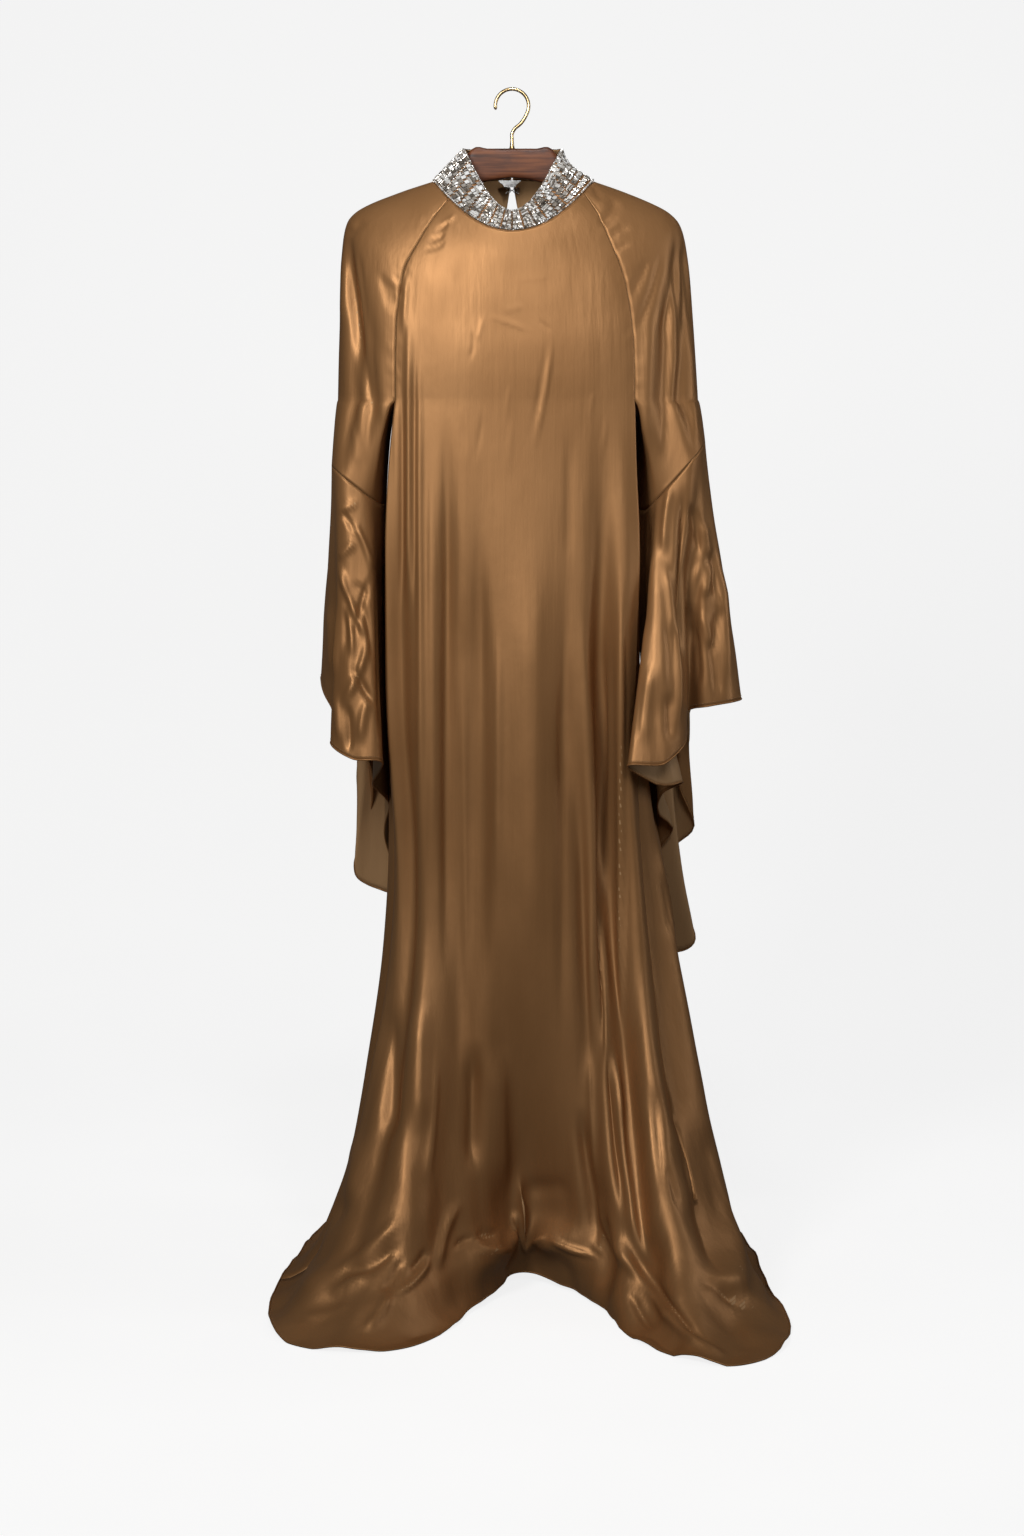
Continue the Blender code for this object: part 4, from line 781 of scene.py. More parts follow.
# Creases of the hidden sides, by x and height on the cloth itself and in metres: from one end (x1, h1)
# to the other (x2, h2), then bend, width, depth and lean.
BACK_CREASES = [
    # Across the shoulders and beside the keyhole
    (-0.060, 1.330, -0.110, 1.285, 0.003, 0.0040, -0.0017, 0.0),
    (0.055, 1.335, 0.108, 1.280, -0.004, 0.0040, -0.0020, 0.2),
    (-0.020, 1.300, -0.034, 1.235, 0.002, 0.0030, 0.0014, 0.0),
    (0.024, 1.290, 0.040, 1.205, -0.003, 0.0035, 0.0017, 0.0),
    (-0.006, 1.255, -0.012, 1.160, 0.001, 0.0045, 0.0025, 0.0),
    (0.010, 1.252, 0.020, 1.130, 0.002, 0.0040, -0.0020, 0.0),
    # Down the back
    (-0.120, 1.240, -0.128, 0.720, 0.004, 0.0065, -0.0048, 0.2),
    (-0.096, 1.160, -0.102, 0.560, -0.003, 0.0085, 0.0045, 0.0),
    (-0.058, 1.080, -0.066, 0.500, 0.003, 0.0080, -0.0042, -0.2),
    (-0.022, 1.120, -0.020, 0.420, -0.004, 0.0110, 0.0039, 0.0),
    (0.022, 1.060, 0.030, 0.480, 0.002, 0.0075, -0.0045, 0.0),
    (0.066, 1.140, 0.074, 0.450, 0.005, 0.0100, 0.0042, 0.2),
    (0.104, 1.190, 0.112, 0.620, -0.003, 0.0070, -0.0050, 0.0),
    (0.130, 1.220, 0.136, 0.760, 0.002, 0.0060, 0.0034, 0.0),
    # Down the skirt
    (-0.160, 0.560, -0.200, 0.120, 0.010, 0.0120, -0.0070, 0.0),
    (-0.120, 0.520, -0.150, 0.090, -0.006, 0.0100, 0.0059, 0.2),
    (-0.070, 0.480, -0.090, 0.070, 0.006, 0.0110, -0.0067, 0.0),
    (-0.010, 0.500, -0.020, 0.110, -0.008, 0.0140, 0.0056, 0.0),
    (0.050, 0.540, 0.064, 0.080, 0.006, 0.0100, -0.0070, -0.2),
    (0.110, 0.500, 0.140, 0.100, -0.008, 0.0120, 0.0062, 0.0),
    (0.160, 0.520, 0.210, 0.080, 0.008, 0.0100, -0.0064, 0.0),
    # Where the back meets the floor
    (-0.190, 0.060, -0.120, 0.040, 0.006, 0.0070, 0.0048, 0.0),
    (-0.090, 0.050, -0.020, 0.066, -0.006, 0.0080, -0.0050, 0.0),
    (0.010, 0.058, 0.070, 0.040, 0.005, 0.0065, 0.0056, 0.2),
    (0.090, 0.046, 0.170, 0.060, -0.007, 0.0080, -0.0045, 0.0),
    (0.180, 0.070, 0.250, 0.048, 0.005, 0.0070, 0.0050, 0.0),
    # Backs of the sleeves
    (-0.188, 1.310, -0.176, 1.080, 0.004, 0.0060, -0.0059, 0.2),
    (-0.206, 1.300, -0.206, 1.120, -0.002, 0.0050, 0.0034, 0.0),
    (-0.166, 1.240, -0.172, 1.050, 0.003, 0.0055, 0.0036, 0.0),
    (0.192, 1.315, 0.182, 1.070, -0.004, 0.0060, -0.0062, 0.2),
    (0.212, 1.290, 0.214, 1.100, 0.002, 0.0050, 0.0031, 0.0),
    (0.170, 1.230, 0.176, 1.060, -0.003, 0.0055, -0.0036, 0.0),
    # Backs of the flounces
    (-0.214, 1.010, -0.206, 0.780, 0.004, 0.0060, 0.0048, 0.0),
    (-0.192, 0.990, -0.188, 0.700, -0.004, 0.0070, -0.0056, 0.0),
    (-0.178, 0.900, -0.186, 0.640, 0.003, 0.0060, 0.0042, 0.0),
    (0.218, 1.020, 0.226, 0.780, -0.004, 0.0070, -0.0053, 0.0),
    (0.196, 0.980, 0.204, 0.660, 0.005, 0.0065, 0.0050, 0.0),
    (0.182, 0.880, 0.206, 0.560, -0.004, 0.0060, -0.0048, 0.0),
]


def on_plane(column, row):
    """Where a pixel of the photo lies on the dress's middle plane: x and height."""
    tilt = math.radians(CAMERA_TILT)
    down = math.atan((row - PHOTO_CENTRE[1]) / PHOTO_FOCUS) + tilt
    height = EYE_HEIGHT - EYE_DISTANCE * math.tan(down)
    far = EYE_DISTANCE * math.cos(tilt) + (EYE_HEIGHT - height) * math.sin(tilt)
    return (column - PHOTO_CENTRE[0]) / PHOTO_FOCUS * far, height


def front_creases():
    """The front's creases in metres: places to the millimetre, widths and depths to a tenth of one."""
    creases = []
    for gain, group in FRONT_CREASES:
        for x1, y1, x2, y2, bend, width, depth, lean in group:
            places = (*on_plane(x1, y1), *on_plane(x2, y2), bend / PHOTO_SCALE)
            sizes = (width / PHOTO_SCALE, depth * gain / 1000)
            creases.append((*(round(n, 3) for n in places), *(round(n, 4) for n in sizes), lean))
    return creases


def crease_push(creases, x, h):
    """How far a table's creases push out the points seen at (x, h)."""
    total = np.zeros(x.shape)
    for x1, h1, x2, h2, bend, width, depth, lean in creases:
        along = np.array([x2 - x1, h2 - h1])
        length = float(np.hypot(*along))
        along /= length
        reach = 3 * width + abs(bend)
        near = (x > min(x1, x2) - reach) & (x < max(x1, x2) + reach)
        near &= (h > min(h1, h2) - reach) & (h < max(h1, h2) + reach)
        t = ((x[near] - x1) * along[0] + (h[near] - h1) * along[1]) / length
        off = (x[near] - x1) * -along[1] + (h[near] - h1) * along[0]
        off = off - bend * 4 * t * (1 - t)
        span = width * np.where(off > 0, 1 + lean, 1 - lean)
        taper = ease(t / 0.3) * ease((1 - t) / 0.3)
        total[near] += depth * taper * np.exp(-((off / span) ** 2))
    return total


def seen(points):
    """Where the camera sees points: x and height on the middle plane of the dress."""
    scale = EYE_DISTANCE / (points[..., 1] + EYE_DISTANCE)
    return points[..., 0] * scale, EYE_HEIGHT + (points[..., 2] - EYE_HEIGHT) * scale


# The cloth as one surface, cut into panels

def grid_faces(numbers):
    """Four-sided faces between rows down and columns round."""
    corners = [numbers[:-1, :-1], numbers[1:, :-1], numbers[1:, 1:], numbers[:-1, 1:]]
    return np.stack(corners, -1).reshape(-1, 4)


class Cloth:
    """A surface of shared points and of four-sided faces that each belong to a panel."""

    def __init__(self):
        self.points, self.push, self.grain, self.count = [], [], [], 0
        self.faces, self.hems = {}, {}

    def add(self, points, push, grain):
        """Adds points and gives their numbers. grain is each one's place on the flat cloth."""
        shape = points.shape[:-1]
        size = int(np.prod(shape))
        self.points.append(points.reshape(size, 3))
        self.push.append(np.broadcast_to(push, shape).reshape(size))
        self.grain.append(grain.reshape(size, 2))
        numbers = np.arange(self.count, self.count + size).reshape(shape)
        self.count += size
        return numbers

    def grid(self, panel, numbers):
        self.faces.setdefault(panel, []).append(grid_faces(numbers))

    def normals(self, points):
        faces = np.concatenate([f for part in self.faces.values() for f in part])
        a, b, c, d = (points[faces[:, k]] for k in range(4))
        normal = np.cross(c - a, d - b)
        total = np.zeros_like(points)
        for k in range(4):
            np.add.at(total, faces[:, k], normal)
        return total / (np.linalg.norm(total, axis=1, keepdims=True) + 1e-15)

    def settle(self):
        """Pushes the large folds out, then the creases, and keeps the cloth off the floor."""
        self.flat = np.concatenate(self.grain)
        points = np.concatenate(self.points)
        shape = points + self.normals(points) * np.concatenate(self.push)[:, None]
        shape[:, 2] = np.maximum(shape[:, 2], FLOOR_LIFT)
        out = self.normals(shape)
        shape = shape + out * fine_push(shape, out)[:, None]
        shape[:, 2] = np.maximum(shape[:, 2], FLOOR_LIFT + SHELL)
        self.shape, self.out = shape, self.normals(shape)


def fine_push(points, out):
    """The listed creases on each side, and the slight unevenness of the whole cloth."""
    x, h = seen(points)
    front = ease((-out[:, 1] - 0.02) / 0.25)
    back = ease((out[:, 1] - 0.02) / 0.25)
    push = crease_push(front_creases(), x, h) * front
    push += crease_push(BACK_CREASES, points[:, 0], points[:, 2]) * back
    height = points[:, 2]
    for scale, depth, share in (
        ((9.0, 9.0, 3.5), 0.0009, 1.0),
        ((32.0, 32.0, 14.0), 0.00025, 1.0),
        ((17.0, 17.0, 1.3), 0.0042, ease((1.12 - height) / 0.6)),
        ((36.0, 36.0, 2.2), 0.0022, ease((1.22 - height) / 0.5)),
        ((16.0, 16.0, 26.0), 0.0050, ease((0.15 - height) / 0.12)),
        ((30.0, 18.0, 6.0), 0.0055, ease((np.abs(points[:, 0]) - 0.17) / 0.02) * ease((1.02 - height) / 0.1)
            * ease((height - 0.42) / 0.08)),
    ):
        spots = points * np.array(scale)
        push += depth * share * np.array([noise.noise(spot) for spot in spots])
    return push


def build_cloth():
    cloth = Cloth()
    yoke_shares = np.linspace(0, 1, YOKE_ROWS + 1)
    seams, rims = {}, {}
    for back, columns in ((False, FRONT_COLUMNS), (True, BACK_COLUMNS)):
        add_yoke(cloth, back, columns, yoke_shares, seams, rims)
    arches = add_body(cloth, rims)
    for side in (1, -1):
        elbow = add_sleeve(cloth, side, yoke_shares, seams, arches)
        add_ruffle(cloth, side, elbow)
    cloth.settle()
    return cloth


def grain_of(points):
    """The flat place of each point of a grid: metres round and metres down."""
    round_steps = np.linalg.norm(np.diff(points, axis=1), axis=-1)
    down_steps = np.linalg.norm(np.diff(points, axis=0), axis=-1)
    u = np.concatenate([np.zeros((len(points), 1)), np.cumsum(round_steps, 1)], 1)
    v = np.concatenate([np.zeros((1, points.shape[1])), np.cumsum(down_steps, 0)], 0)
    return np.stack([u, v], -1)


def slit_half_width(height):
    """Half the width of the back slit: a narrow gap at the collar, then the drop-shaped keyhole."""
    top = float(smooth(YOKE, "share", "h_back", 0.0))
    down = (top - height) / KEYHOLE_LENGTH
    if down >= 1:
        return 0.0
    return SLIT_GAP / 2 + KEYHOLE_WIDTH / 2 * max(0.0, math.sin(math.pi * down**1.4)) ** 0.8


def puckers(along, off, seed):
    """Small ripples across a seam: along it in metres, and off it in metres."""
    ripple = np.array([noise.noise((a * 95.0, seed, 0.0)) for a in along.ravel()]).reshape(along.shape)
    rippled = (PUCKER_DEPTH * ripple - 0.0005) * np.exp(-(off / PUCKER_REACH) ** 2)
    return rippled - SEAM_SINK * np.exp(-(off / SEAM_REACH) ** 2)


def add_yoke(cloth, back, columns, shares, seams, rims):
    """The front or back above the underarm, which keeps the numbers of its seams and of its lowest row."""
    panel = "back" if back else "front"
    across, share = np.meshgrid(np.linspace(0, 1, columns + 1), shares)
    points = panel_yoke(across, share, back)
    start, end = (BACK_CORNER, 360 - BACK_CORNER) if back else (-FRONT_CORNER, FRONT_CORNER)
    push = fold_depth(mix(start, end, across), points[..., 2]) * ease((share - 0.4) / 0.6)
    push = push * ease(np.minimum(across, 1 - across) / 0.08)
    grain = grain_of(points)
    width = grain[:, -1:, 0]
    for n, off in enumerate((grain[..., 0], width - grain[..., 0])):
        push = push + puckers(grain[..., 1], off, 3.1 + n + 5 * back)
    push[:, [0, -1]] = -0.0007
    names = ("BR", "BL") if back else ("FL", "FR")
    if not back:
        numbers = cloth.add(points, push, grain)
        cloth.grid(panel, numbers)
        rims[panel] = numbers[-1]
    else:
        middle = columns // 2
        opened = np.array([slit_half_width(points[r, middle, 2]) for r in range(len(shares))])
        reach = 1 - np.abs(np.arange(columns + 1) - middle) / middle
        first, second = points.copy(), points.copy()
        first[..., 0] += opened[:, None] * reach
        second[..., 0] -= opened[:, None] * reach
        joined = np.where(np.arange(columns + 1) <= middle, 1.0, 0.0)[None, :, None]
        numbers = cloth.add(first * joined + second * (1 - joined), push, grain)
        other = numbers[:, middle].copy()
        split = opened > 0
        other[split] = cloth.add(second[split, middle], push[split, middle], grain[split, middle])
        cloth.grid(panel, numbers[:, : middle + 1])
        cloth.grid(panel, np.concatenate([other[:, None], numbers[:, middle + 1 :]], 1))
        rims[panel] = numbers[-1]
        rims["slit"] = (numbers[split, middle], other[split])
    seams[names[0]] = numbers[:, 0]
    seams[names[1]] = numbers[:, -1]
    rims["neck_" + panel] = numbers[0]


def body_angles():
    """Column angles round the body from the front's left corner."""
    zones = (
        (-FRONT_CORNER, FRONT_CORNER, FRONT_COLUMNS),
        (FRONT_CORNER, BACK_CORNER, WALL_COLUMNS),
        (BACK_CORNER, 360 - BACK_CORNER, BACK_COLUMNS),
        (360 - BACK_CORNER, 360 - FRONT_CORNER, WALL_COLUMNS),
    )
    return np.concatenate([mix(start, end, np.arange(count) / count) for start, end, count in zones])


def arch(side, step):
    """Points of the underarm seam, counted from the front."""
    share = np.asarray(step, float)[:, None] / WALL_COLUMNS
    one, zero = np.array(1.0), np.array(0.0)
    front = panel_yoke(one if side > 0 else zero, one, False)
    back = panel_yoke(zero if side > 0 else one, one, True)
    point = mix(front, back, share)
    point[:, 0] += side * 0.007 * np.sin(np.pi * share[:, 0])
    point[:, 2] -= ARCH_SAG * np.sin(np.pi * share[:, 0])
    return point


def add_body(cloth, rims):
    """Front, sides and back below the underarm. The side seams run down the middle of the sides."""
    angles = body_angles()
    levels = np.linspace(1.134, SKIRT_TOP, BODY_ROWS + 1)[1:]
    shares = (np.arange(1, SWEEP_ROWS + 1) / SWEEP_ROWS) ** 0.9
    upper = body_ring(angles[None, :], levels[:, None])
    lower = sweep(angles[None, :], shares[:, None])
    points = np.concatenate([upper, lower])
    stands = np.concatenate([levels, SKIRT_TOP * (1 - shares)])[:, None]
    push = fold_depth(angles[None, :], stands) + buckle_depth(angles[None, :], points[..., 2])

    inner = np.arange(1, WALL_COLUMNS)
    right, left = arch(1, inner), arch(-1, inner)[::-1]
    fore_rim, rear_rim = (cloth_points(cloth, rims[name]) for name in ("front", "back"))
    started = np.concatenate([fore_rim, right, rear_rim, left])
    grain = grain_of(np.concatenate([started[None], points]))
    fore = FRONT_COLUMNS + 1
    rear = fore + WALL_COLUMNS - 1
    arches = {
        1: cloth.add(right, 0.0, grain[0, fore:rear]),
        -1: cloth.add(left, 0.0, grain[0, rear + BACK_COLUMNS + 1 :]),
    }
    top = np.concatenate([rims["front"], arches[1], rims["back"], arches[-1]])
    numbers = np.concatenate([top[None], cloth.add(points, push, grain[1:])])
    half = WALL_COLUMNS // 2
    total = len(angles)
    front = np.arange(-half, FRONT_COLUMNS + half + 1) % total
    back = np.arange(FRONT_COLUMNS + half, FRONT_COLUMNS + half + BACK_COLUMNS + WALL_COLUMNS + 1) % total
    cloth.grid("front", numbers[:, front])
    cloth.grid("back", numbers[:, back])
    for panel, columns in (("front", front), ("back", back)):
        cloth.hems[panel] = (numbers[-1, columns], numbers[-2, columns])
    arches[-1] = arches[-1][::-1]
    return arches


def cloth_points(cloth, numbers):
    return np.concatenate(cloth.points)[numbers]


def sleeve_turns():
    """The way round the sleeve for each of its columns: outer columns first, then the inner wall."""
    outer = np.linspace(0, OUTER_SHARE, SLEEVE_COLUMNS + 1)
    inner = np.linspace(OUTER_SHARE, 1, WALL_COLUMNS + 1)[1:]
    return np.concatenate([outer, inner])


def add_sleeve(cloth, side, shares, seams, arches):
    """A raglan sleeve from the neck to the elbow seam. Gives the numbers of its lowest row."""
    panel = "sleeve_right" if side > 0 else "sleeve_left"
    across, share = np.meshgrid(np.linspace(0, 1, SLEEVE_COLUMNS + 1), shares)
    points = sleeve_yoke(side, across, share)
    edge = ease(np.minimum(across, 1 - across) / 0.12)
    push = sleeve_fold_depth(side, sleeve_angles(side, across, share), share) * edge
    grain = grain_of(points)
    for n, off in enumerate((grain[..., 0], grain[:, -1:, 0] - grain[..., 0])):
        push = push + 1.5 * puckers(grain[..., 1], off, 11.7 + n + side)
    first, last = ("FR", "BR") if side > 0 else ("BL", "FL")
    inner = cloth.add(points[:, 1:-1], push[:, 1:-1], grain[:, 1:-1])
    upper = np.concatenate([seams[first][:, None], inner, seams[last][:, None]], 1)
    cloth.grid(panel, upper)

    under = arches[side][::-1] if side > 0 else arches[side]
    names = np.concatenate([upper[-1], under])
    rim = cloth_points(cloth, names)
    rim_push = np.concatenate(cloth.push)[names]
    turns = sleeve_turns()
    low = elbow_ring(side, turns if side > 0 else mix(OUTER_SHARE, 0, turns / OUTER_SHARE))[:-1]
    down = np.arange(1, SLEEVE_ROWS + 1) / SLEEVE_ROWS
    spread = np.stack([down**0.6, down, down], -1)[:, None, :]
    rows = mix(rim, low, spread)
    grain = grain_of(np.concatenate([rim[None], rows]))[1:]
    numbers = np.concatenate([names[None], cloth.add(rows, rim_push * (1 - down)[:, None], grain)])
    cloth.grid(panel, np.concatenate([numbers, numbers[:, :1]], 1))
    return numbers[-1]


def add_ruffle(cloth, side, elbow):
    """A flounce with twice the sleeve's columns."""
    panel = "flounce_right" if side > 0 else "flounce_left"
    turns = sleeve_turns()
    if side < 0:
        turns = mix(OUTER_SHARE, 0, turns / OUTER_SHARE)
    doubled = np.empty(2 * len(turns) - 1)
    doubled[::2] = turns
    doubled[1::2] = (turns[:-1] + turns[1:]) / 2
    down = (np.arange(1, RUFFLE_ROWS + 1) / RUFFLE_ROWS)[:, None]
    points = ruffle(side, doubled[None, :-1] * np.ones_like(down), down * np.ones(len(doubled) - 1)[None, :])
    start = cloth_points(cloth, elbow)
    between = cloth.add((start + np.roll(start, -1, 0)) / 2, -0.0003, np.zeros((len(start), 2)))
    top = np.stack([elbow, between], 1).ravel()
    first = cloth_points(cloth, top)
    grain = grain_of(np.concatenate([first[None], points]))
    numbers = np.concatenate([top[None], cloth.add(points, 0.0, grain[1:])])
    cloth.grid(panel, np.concatenate([numbers, numbers[:, :1]], 1))
    cloth.hems[panel] = (numbers[-1], numbers[-2])


def boundary(faces):
    """The edges that only one face has, in the face's direction, each with that face's number."""
    starts = faces.ravel()
    ends = np.roll(faces, -1, 1).ravel()
    owner = np.repeat(np.arange(len(faces)), 4)
    size = int(faces.max()) + 1
    forward = starts.astype(np.int64) * size + ends
    backward = ends.astype(np.int64) * size + starts
    alone = ~np.isin(forward, backward)
    return starts[alone], ends[alone], owner[alone]


def closed_sheet(faces, outer, inner, grain):
    """A sheet with two sides and a rim: its points, faces, grain and slots. Slot 0 is the outer side."""
    starts, ends, _ = boundary(faces)
    count = len(outer)
    rim = np.stack([ends, starts, starts + count, ends + count], -1)
    quads = np.concatenate([faces, faces[:, ::-1] + count, rim])
    slots = np.concatenate([np.zeros(len(faces), int), np.ones(len(faces) + len(rim), int)])
    return np.concatenate([outer, inner]), quads, np.concatenate([grain, grain]), slots


def shell_mesh(cloth, panel):
    """A panel as a closed thin shell, drawn in at its edges by half the seam gap."""
    faces = np.concatenate(cloth.faces[panel])
    used, local = np.unique(faces, return_inverse=True)
    faces = local.reshape(-1, 4)
    outer = cloth.shape[used].copy()
    starts, ends, owner = boundary(faces)
    middle = outer[faces[owner]].mean(1)
    along = outer[ends] - outer[starts]
    along /= np.linalg.norm(along, axis=1, keepdims=True) + 1e-12
    inwards = middle - outer[starts]
    inwards -= along * (inwards * along).sum(1, keepdims=True)
    inwards /= np.linalg.norm(inwards, axis=1, keepdims=True) + 1e-12
    draw = np.zeros_like(outer)
    np.add.at(draw, starts, inwards)
    np.add.at(draw, ends, inwards)
    length = np.linalg.norm(draw, axis=1, keepdims=True)
    outer += np.where(length > 0, draw / np.maximum(length, 1e-9), 0) * SEAM_GAP * 0.6
    inner = outer - cloth.out[used] * SHELL
    inner[:, 2] = np.maximum(inner[:, 2], FLOOR_LIFT)
    return closed_sheet(faces, outer, inner, cloth.flat[used])


# Materials

class Look:
    """A Principled material that is built up node by node."""

    def __init__(self, name, **values):
        self.made = bpy.data.materials.new(name)
        self.made.use_nodes = True
        self.tree = self.made.node_tree
        self.shader = self.tree.nodes["Principled BSDF"]
        for socket, value in values.items():
            self.shader.inputs[socket.replace("_", " ")].default_value = value

    def node(self, kind, links=None, **values):
        made = self.tree.nodes.new(kind)
        for name, value in values.items():
            if hasattr(made, name):
                setattr(made, name, value)
            else:
                made.inputs[name.replace("_", " ")].default_value = value
        for socket, source in (links or {}).items():
            self.tree.links.new(source, made.inputs[socket])
        return made

    def link(self, source, socket):
        self.tree.links.new(source, self.shader.inputs[socket])

    def place(self, scale, grain=False):
        """Coordinates in metres times a scale: of the flat cloth, or of the object."""
        source = self.node("ShaderNodeTexCoord").outputs["Object"]
        if grain:
            source = self.node("ShaderNodeUVMap", uv_map="grain").outputs["UV"]
        made = self.node("ShaderNodeMapping", {"Vector": source})
        made.inputs["Scale"].default_value = scale
        return made.outputs["Vector"]

    def noise(self, scale, detail=2.0, grain=False):
        source = self.place(scale, grain)
        return self.node("ShaderNodeTexNoise", {"Vector": source}, Scale=1.0, Detail=detail).outputs["Fac"]

    def ramp(self, source, stops):
        """stops are (place, value or colour)."""
        made = self.node("ShaderNodeValToRGB", {"Fac": source})
        elements = made.color_ramp.elements
        while len(elements) < len(stops):
            elements.new(0.5)
        for element, (place, value) in zip(elements, stops):
            element.position = place
            colour = value if hasattr(value, "__len__") else (value, value, value)
            element.color = (*colour, 1)
        return made.outputs["Color"]

    def bump(self, heights):
        """heights are (source, strength, distance in metres)."""
        normal = None
        for source, strength, distance in heights:
            links = {"Height": source}
            if normal is not None:
                links["Normal"] = normal
            bump = self.node("ShaderNodeBump", links, Strength=strength, Distance=distance)
            normal = bump.outputs["Normal"]
        self.link(normal, "Normal")


def satin_look(name, light, dark, roughness, metallic):
    """Charmeuse satin: fine threads down the cloth, slubs, and a slow drift of colour and gloss."""
    look = Look(name, Specular_Tint=(1.0, 0.76, 0.52, 1.0), IOR=1.5, Metallic=metallic)
    drift = look.noise((7.0, 7.0, 3.0), 3.0)
    look.link(look.ramp(drift, [(0.3, dark), (0.7, light)]), "Base Color")
    gloss = look.noise((22.0, 22.0, 9.0), 3.0)
    look.link(look.ramp(gloss, [(0.3, roughness - 0.05), (0.7, roughness + 0.05)]), "Roughness")
    threads = look.noise((1800.0, 240.0, 1.0), 1.0, grain=True)
    slubs = look.noise((260.0, 18.0, 1.0), 2.0, grain=True)
    crush = look.noise((52.0, 52.0, 30.0), 3.0)
    streaks = look.noise((130.0, 130.0, 7.0), 3.0)
    look.bump([(streaks, 0.5, 0.0009), (crush, 0.45, 0.0007), (slubs, 0.25, 0.0001), (threads, 0.2, 0.00006)])
    return look.made


def thread_look():
    look = Look("thread")
    drift = look.noise((300.0, 300.0, 300.0), 3.0)
    look.link(look.ramp(drift, [(0.3, (0.22, 0.12, 0.055)), (0.7, (0.33, 0.19, 0.09))]), "Base Color")
    look.link(look.ramp(drift, [(0.2, 0.44), (0.8, 0.56)]), "Roughness")
    look.bump([(drift, 0.2, 0.0002)])
    return look.made


def stone_look():
    """Cut glass over foil: each stone has its own tone, and its facets mirror the studio."""
    look = Look("stone", Metallic=0.40, Roughness=0.12, IOR=1.6)
    tone = look.node("ShaderNodeAttribute", attribute_name="tone").outputs["Fac"]
    dark, brown, grey, white = (0.06, 0.05, 0.04), (0.30, 0.26, 0.22), (0.62, 0.60, 0.57), (0.95, 0.95, 0.95)
    look.link(look.ramp(tone, [(0.0, dark), (0.4, brown), (0.7, grey), (1.0, white)]), "Base Color")
    flaws = look.noise((500.0, 500.0, 500.0), 2.0)
    look.bump([(flaws, 0.06, 0.0002)])
    return look.made


def metal_look(name, light, dark, roughness, scale):
    """Bare metal with fine scratches and a slow tarnish."""
    look = Look(name, Metallic=1.0)
    tarnish = look.noise((160.0, 160.0, 160.0), 3.0)
    look.link(look.ramp(tarnish, [(0.35, dark), (0.65, light)]), "Base Color")
    scratches = look.noise(scale, 2.0)
    look.link(look.ramp(scratches, [(0.2, roughness - 0.06), (0.8, roughness + 0.08)]), "Roughness")
    look.bump([(scratches, 0.08, 0.0001)])
    return look.made


def wood_look():
    """Stained and varnished wood: grain along the arms, reddish mottling and small dark pores."""
    look = Look("wood", IOR=1.42, Coat_Weight=0.06, Coat_Roughness=0.3)
    grain = look.noise((14.0, 260.0, 260.0), 4.0)
    mottle = look.noise((34.0, 60.0, 70.0), 3.0)
    dark, middle, light = (0.045, 0.013, 0.005), (0.13, 0.040, 0.013), (0.21, 0.072, 0.024)
    grain_colour = look.ramp(grain, [(0.28, dark), (0.52, middle), (0.75, light)])
    dark, middle, light = (0.28, 0.22, 0.20), (0.80, 0.74, 0.72), (1.0, 1.0, 1.0)
    mottle_colour = look.ramp(mottle, [(0.30, dark), (0.48, middle), (0.70, light)])
    blend = look.node("ShaderNodeMix", data_type="RGBA", blend_type="MULTIPLY")
    blend.inputs["Factor"].default_value = 1.0
    look.tree.links.new(grain_colour, blend.inputs["A"])
    look.tree.links.new(mottle_colour, blend.inputs["B"])
    look.link(blend.outputs["Result"], "Base Color")
    look.link(look.ramp(mottle, [(0.3, 0.50), (0.7, 0.64)]), "Roughness")
    look.bump([(mottle, 0.3, 0.0008), (grain, 0.15, 0.0003)])
    return look.made


def label_look():
    """Blank white damask tape with its fine cross ribs."""
    look = Look("label", Sheen_Weight=0.2)
    ribs = look.noise((120.0, 3600.0, 1.0), 1.0, grain=True)
    look.link(look.ramp(ribs, [(0.3, (0.86, 0.86, 0.85)), (0.7, (0.95, 0.95, 0.95))]), "Base Color")
    look.link(look.ramp(ribs, [(0.3, 0.55), (0.7, 0.7)]), "Roughness")
    look.bump([(ribs, 0.4, 0.0001)])
    return look.made


def floor_look():
    """Seamless white paper. Most of its brightness is its own, so that the backdrop stays even."""
    look = Look("floor", Emission_Color=(1.0, 1.0, 1.0, 1.0), Emission_Strength=0.835)
    drift = look.noise((3.0, 3.0, 3.0), 3.0)
    look.link(look.ramp(drift, [(0.3, (0.19, 0.19, 0.193)), (0.7, (0.21, 0.21, 0.21))]), "Base Color")
    look.link(look.ramp(drift, [(0.2, 0.70), (0.8, 0.80)]), "Roughness")
    look.bump([(drift, 0.02, 0.0002)])
    return look.made


MATERIALS = {
    "satin": satin_look("satin", (0.320, 0.160, 0.064), (0.250, 0.119, 0.044), 0.45, 0.45),
    "satin_reverse": satin_look("satin_reverse", (0.40, 0.235, 0.115), (0.34, 0.195, 0.090), 0.55, 0.10),
    "thread": thread_look(),
    "stone": stone_look(),
    "silver": metal_look("silver", (0.80, 0.78, 0.75), (0.50, 0.46, 0.42), 0.22, (900.0, 900.0, 900.0)),
    "steel": metal_look("steel", (0.78, 0.78, 0.78), (0.62, 0.62, 0.63), 0.22, (900.0, 900.0, 200.0)),
    "brass": metal_look("brass", (0.78, 0.60, 0.34), (0.55, 0.39, 0.19), 0.26, (200.0, 900.0, 900.0)),
    "wood": wood_look(),
    "label": label_look(),
    "floor": floor_look(),
}


# Meshes

def new_object(name, data):
    made = bpy.data.objects.new(name, data)
    bpy.context.scene.collection.objects.link(made)
    return made


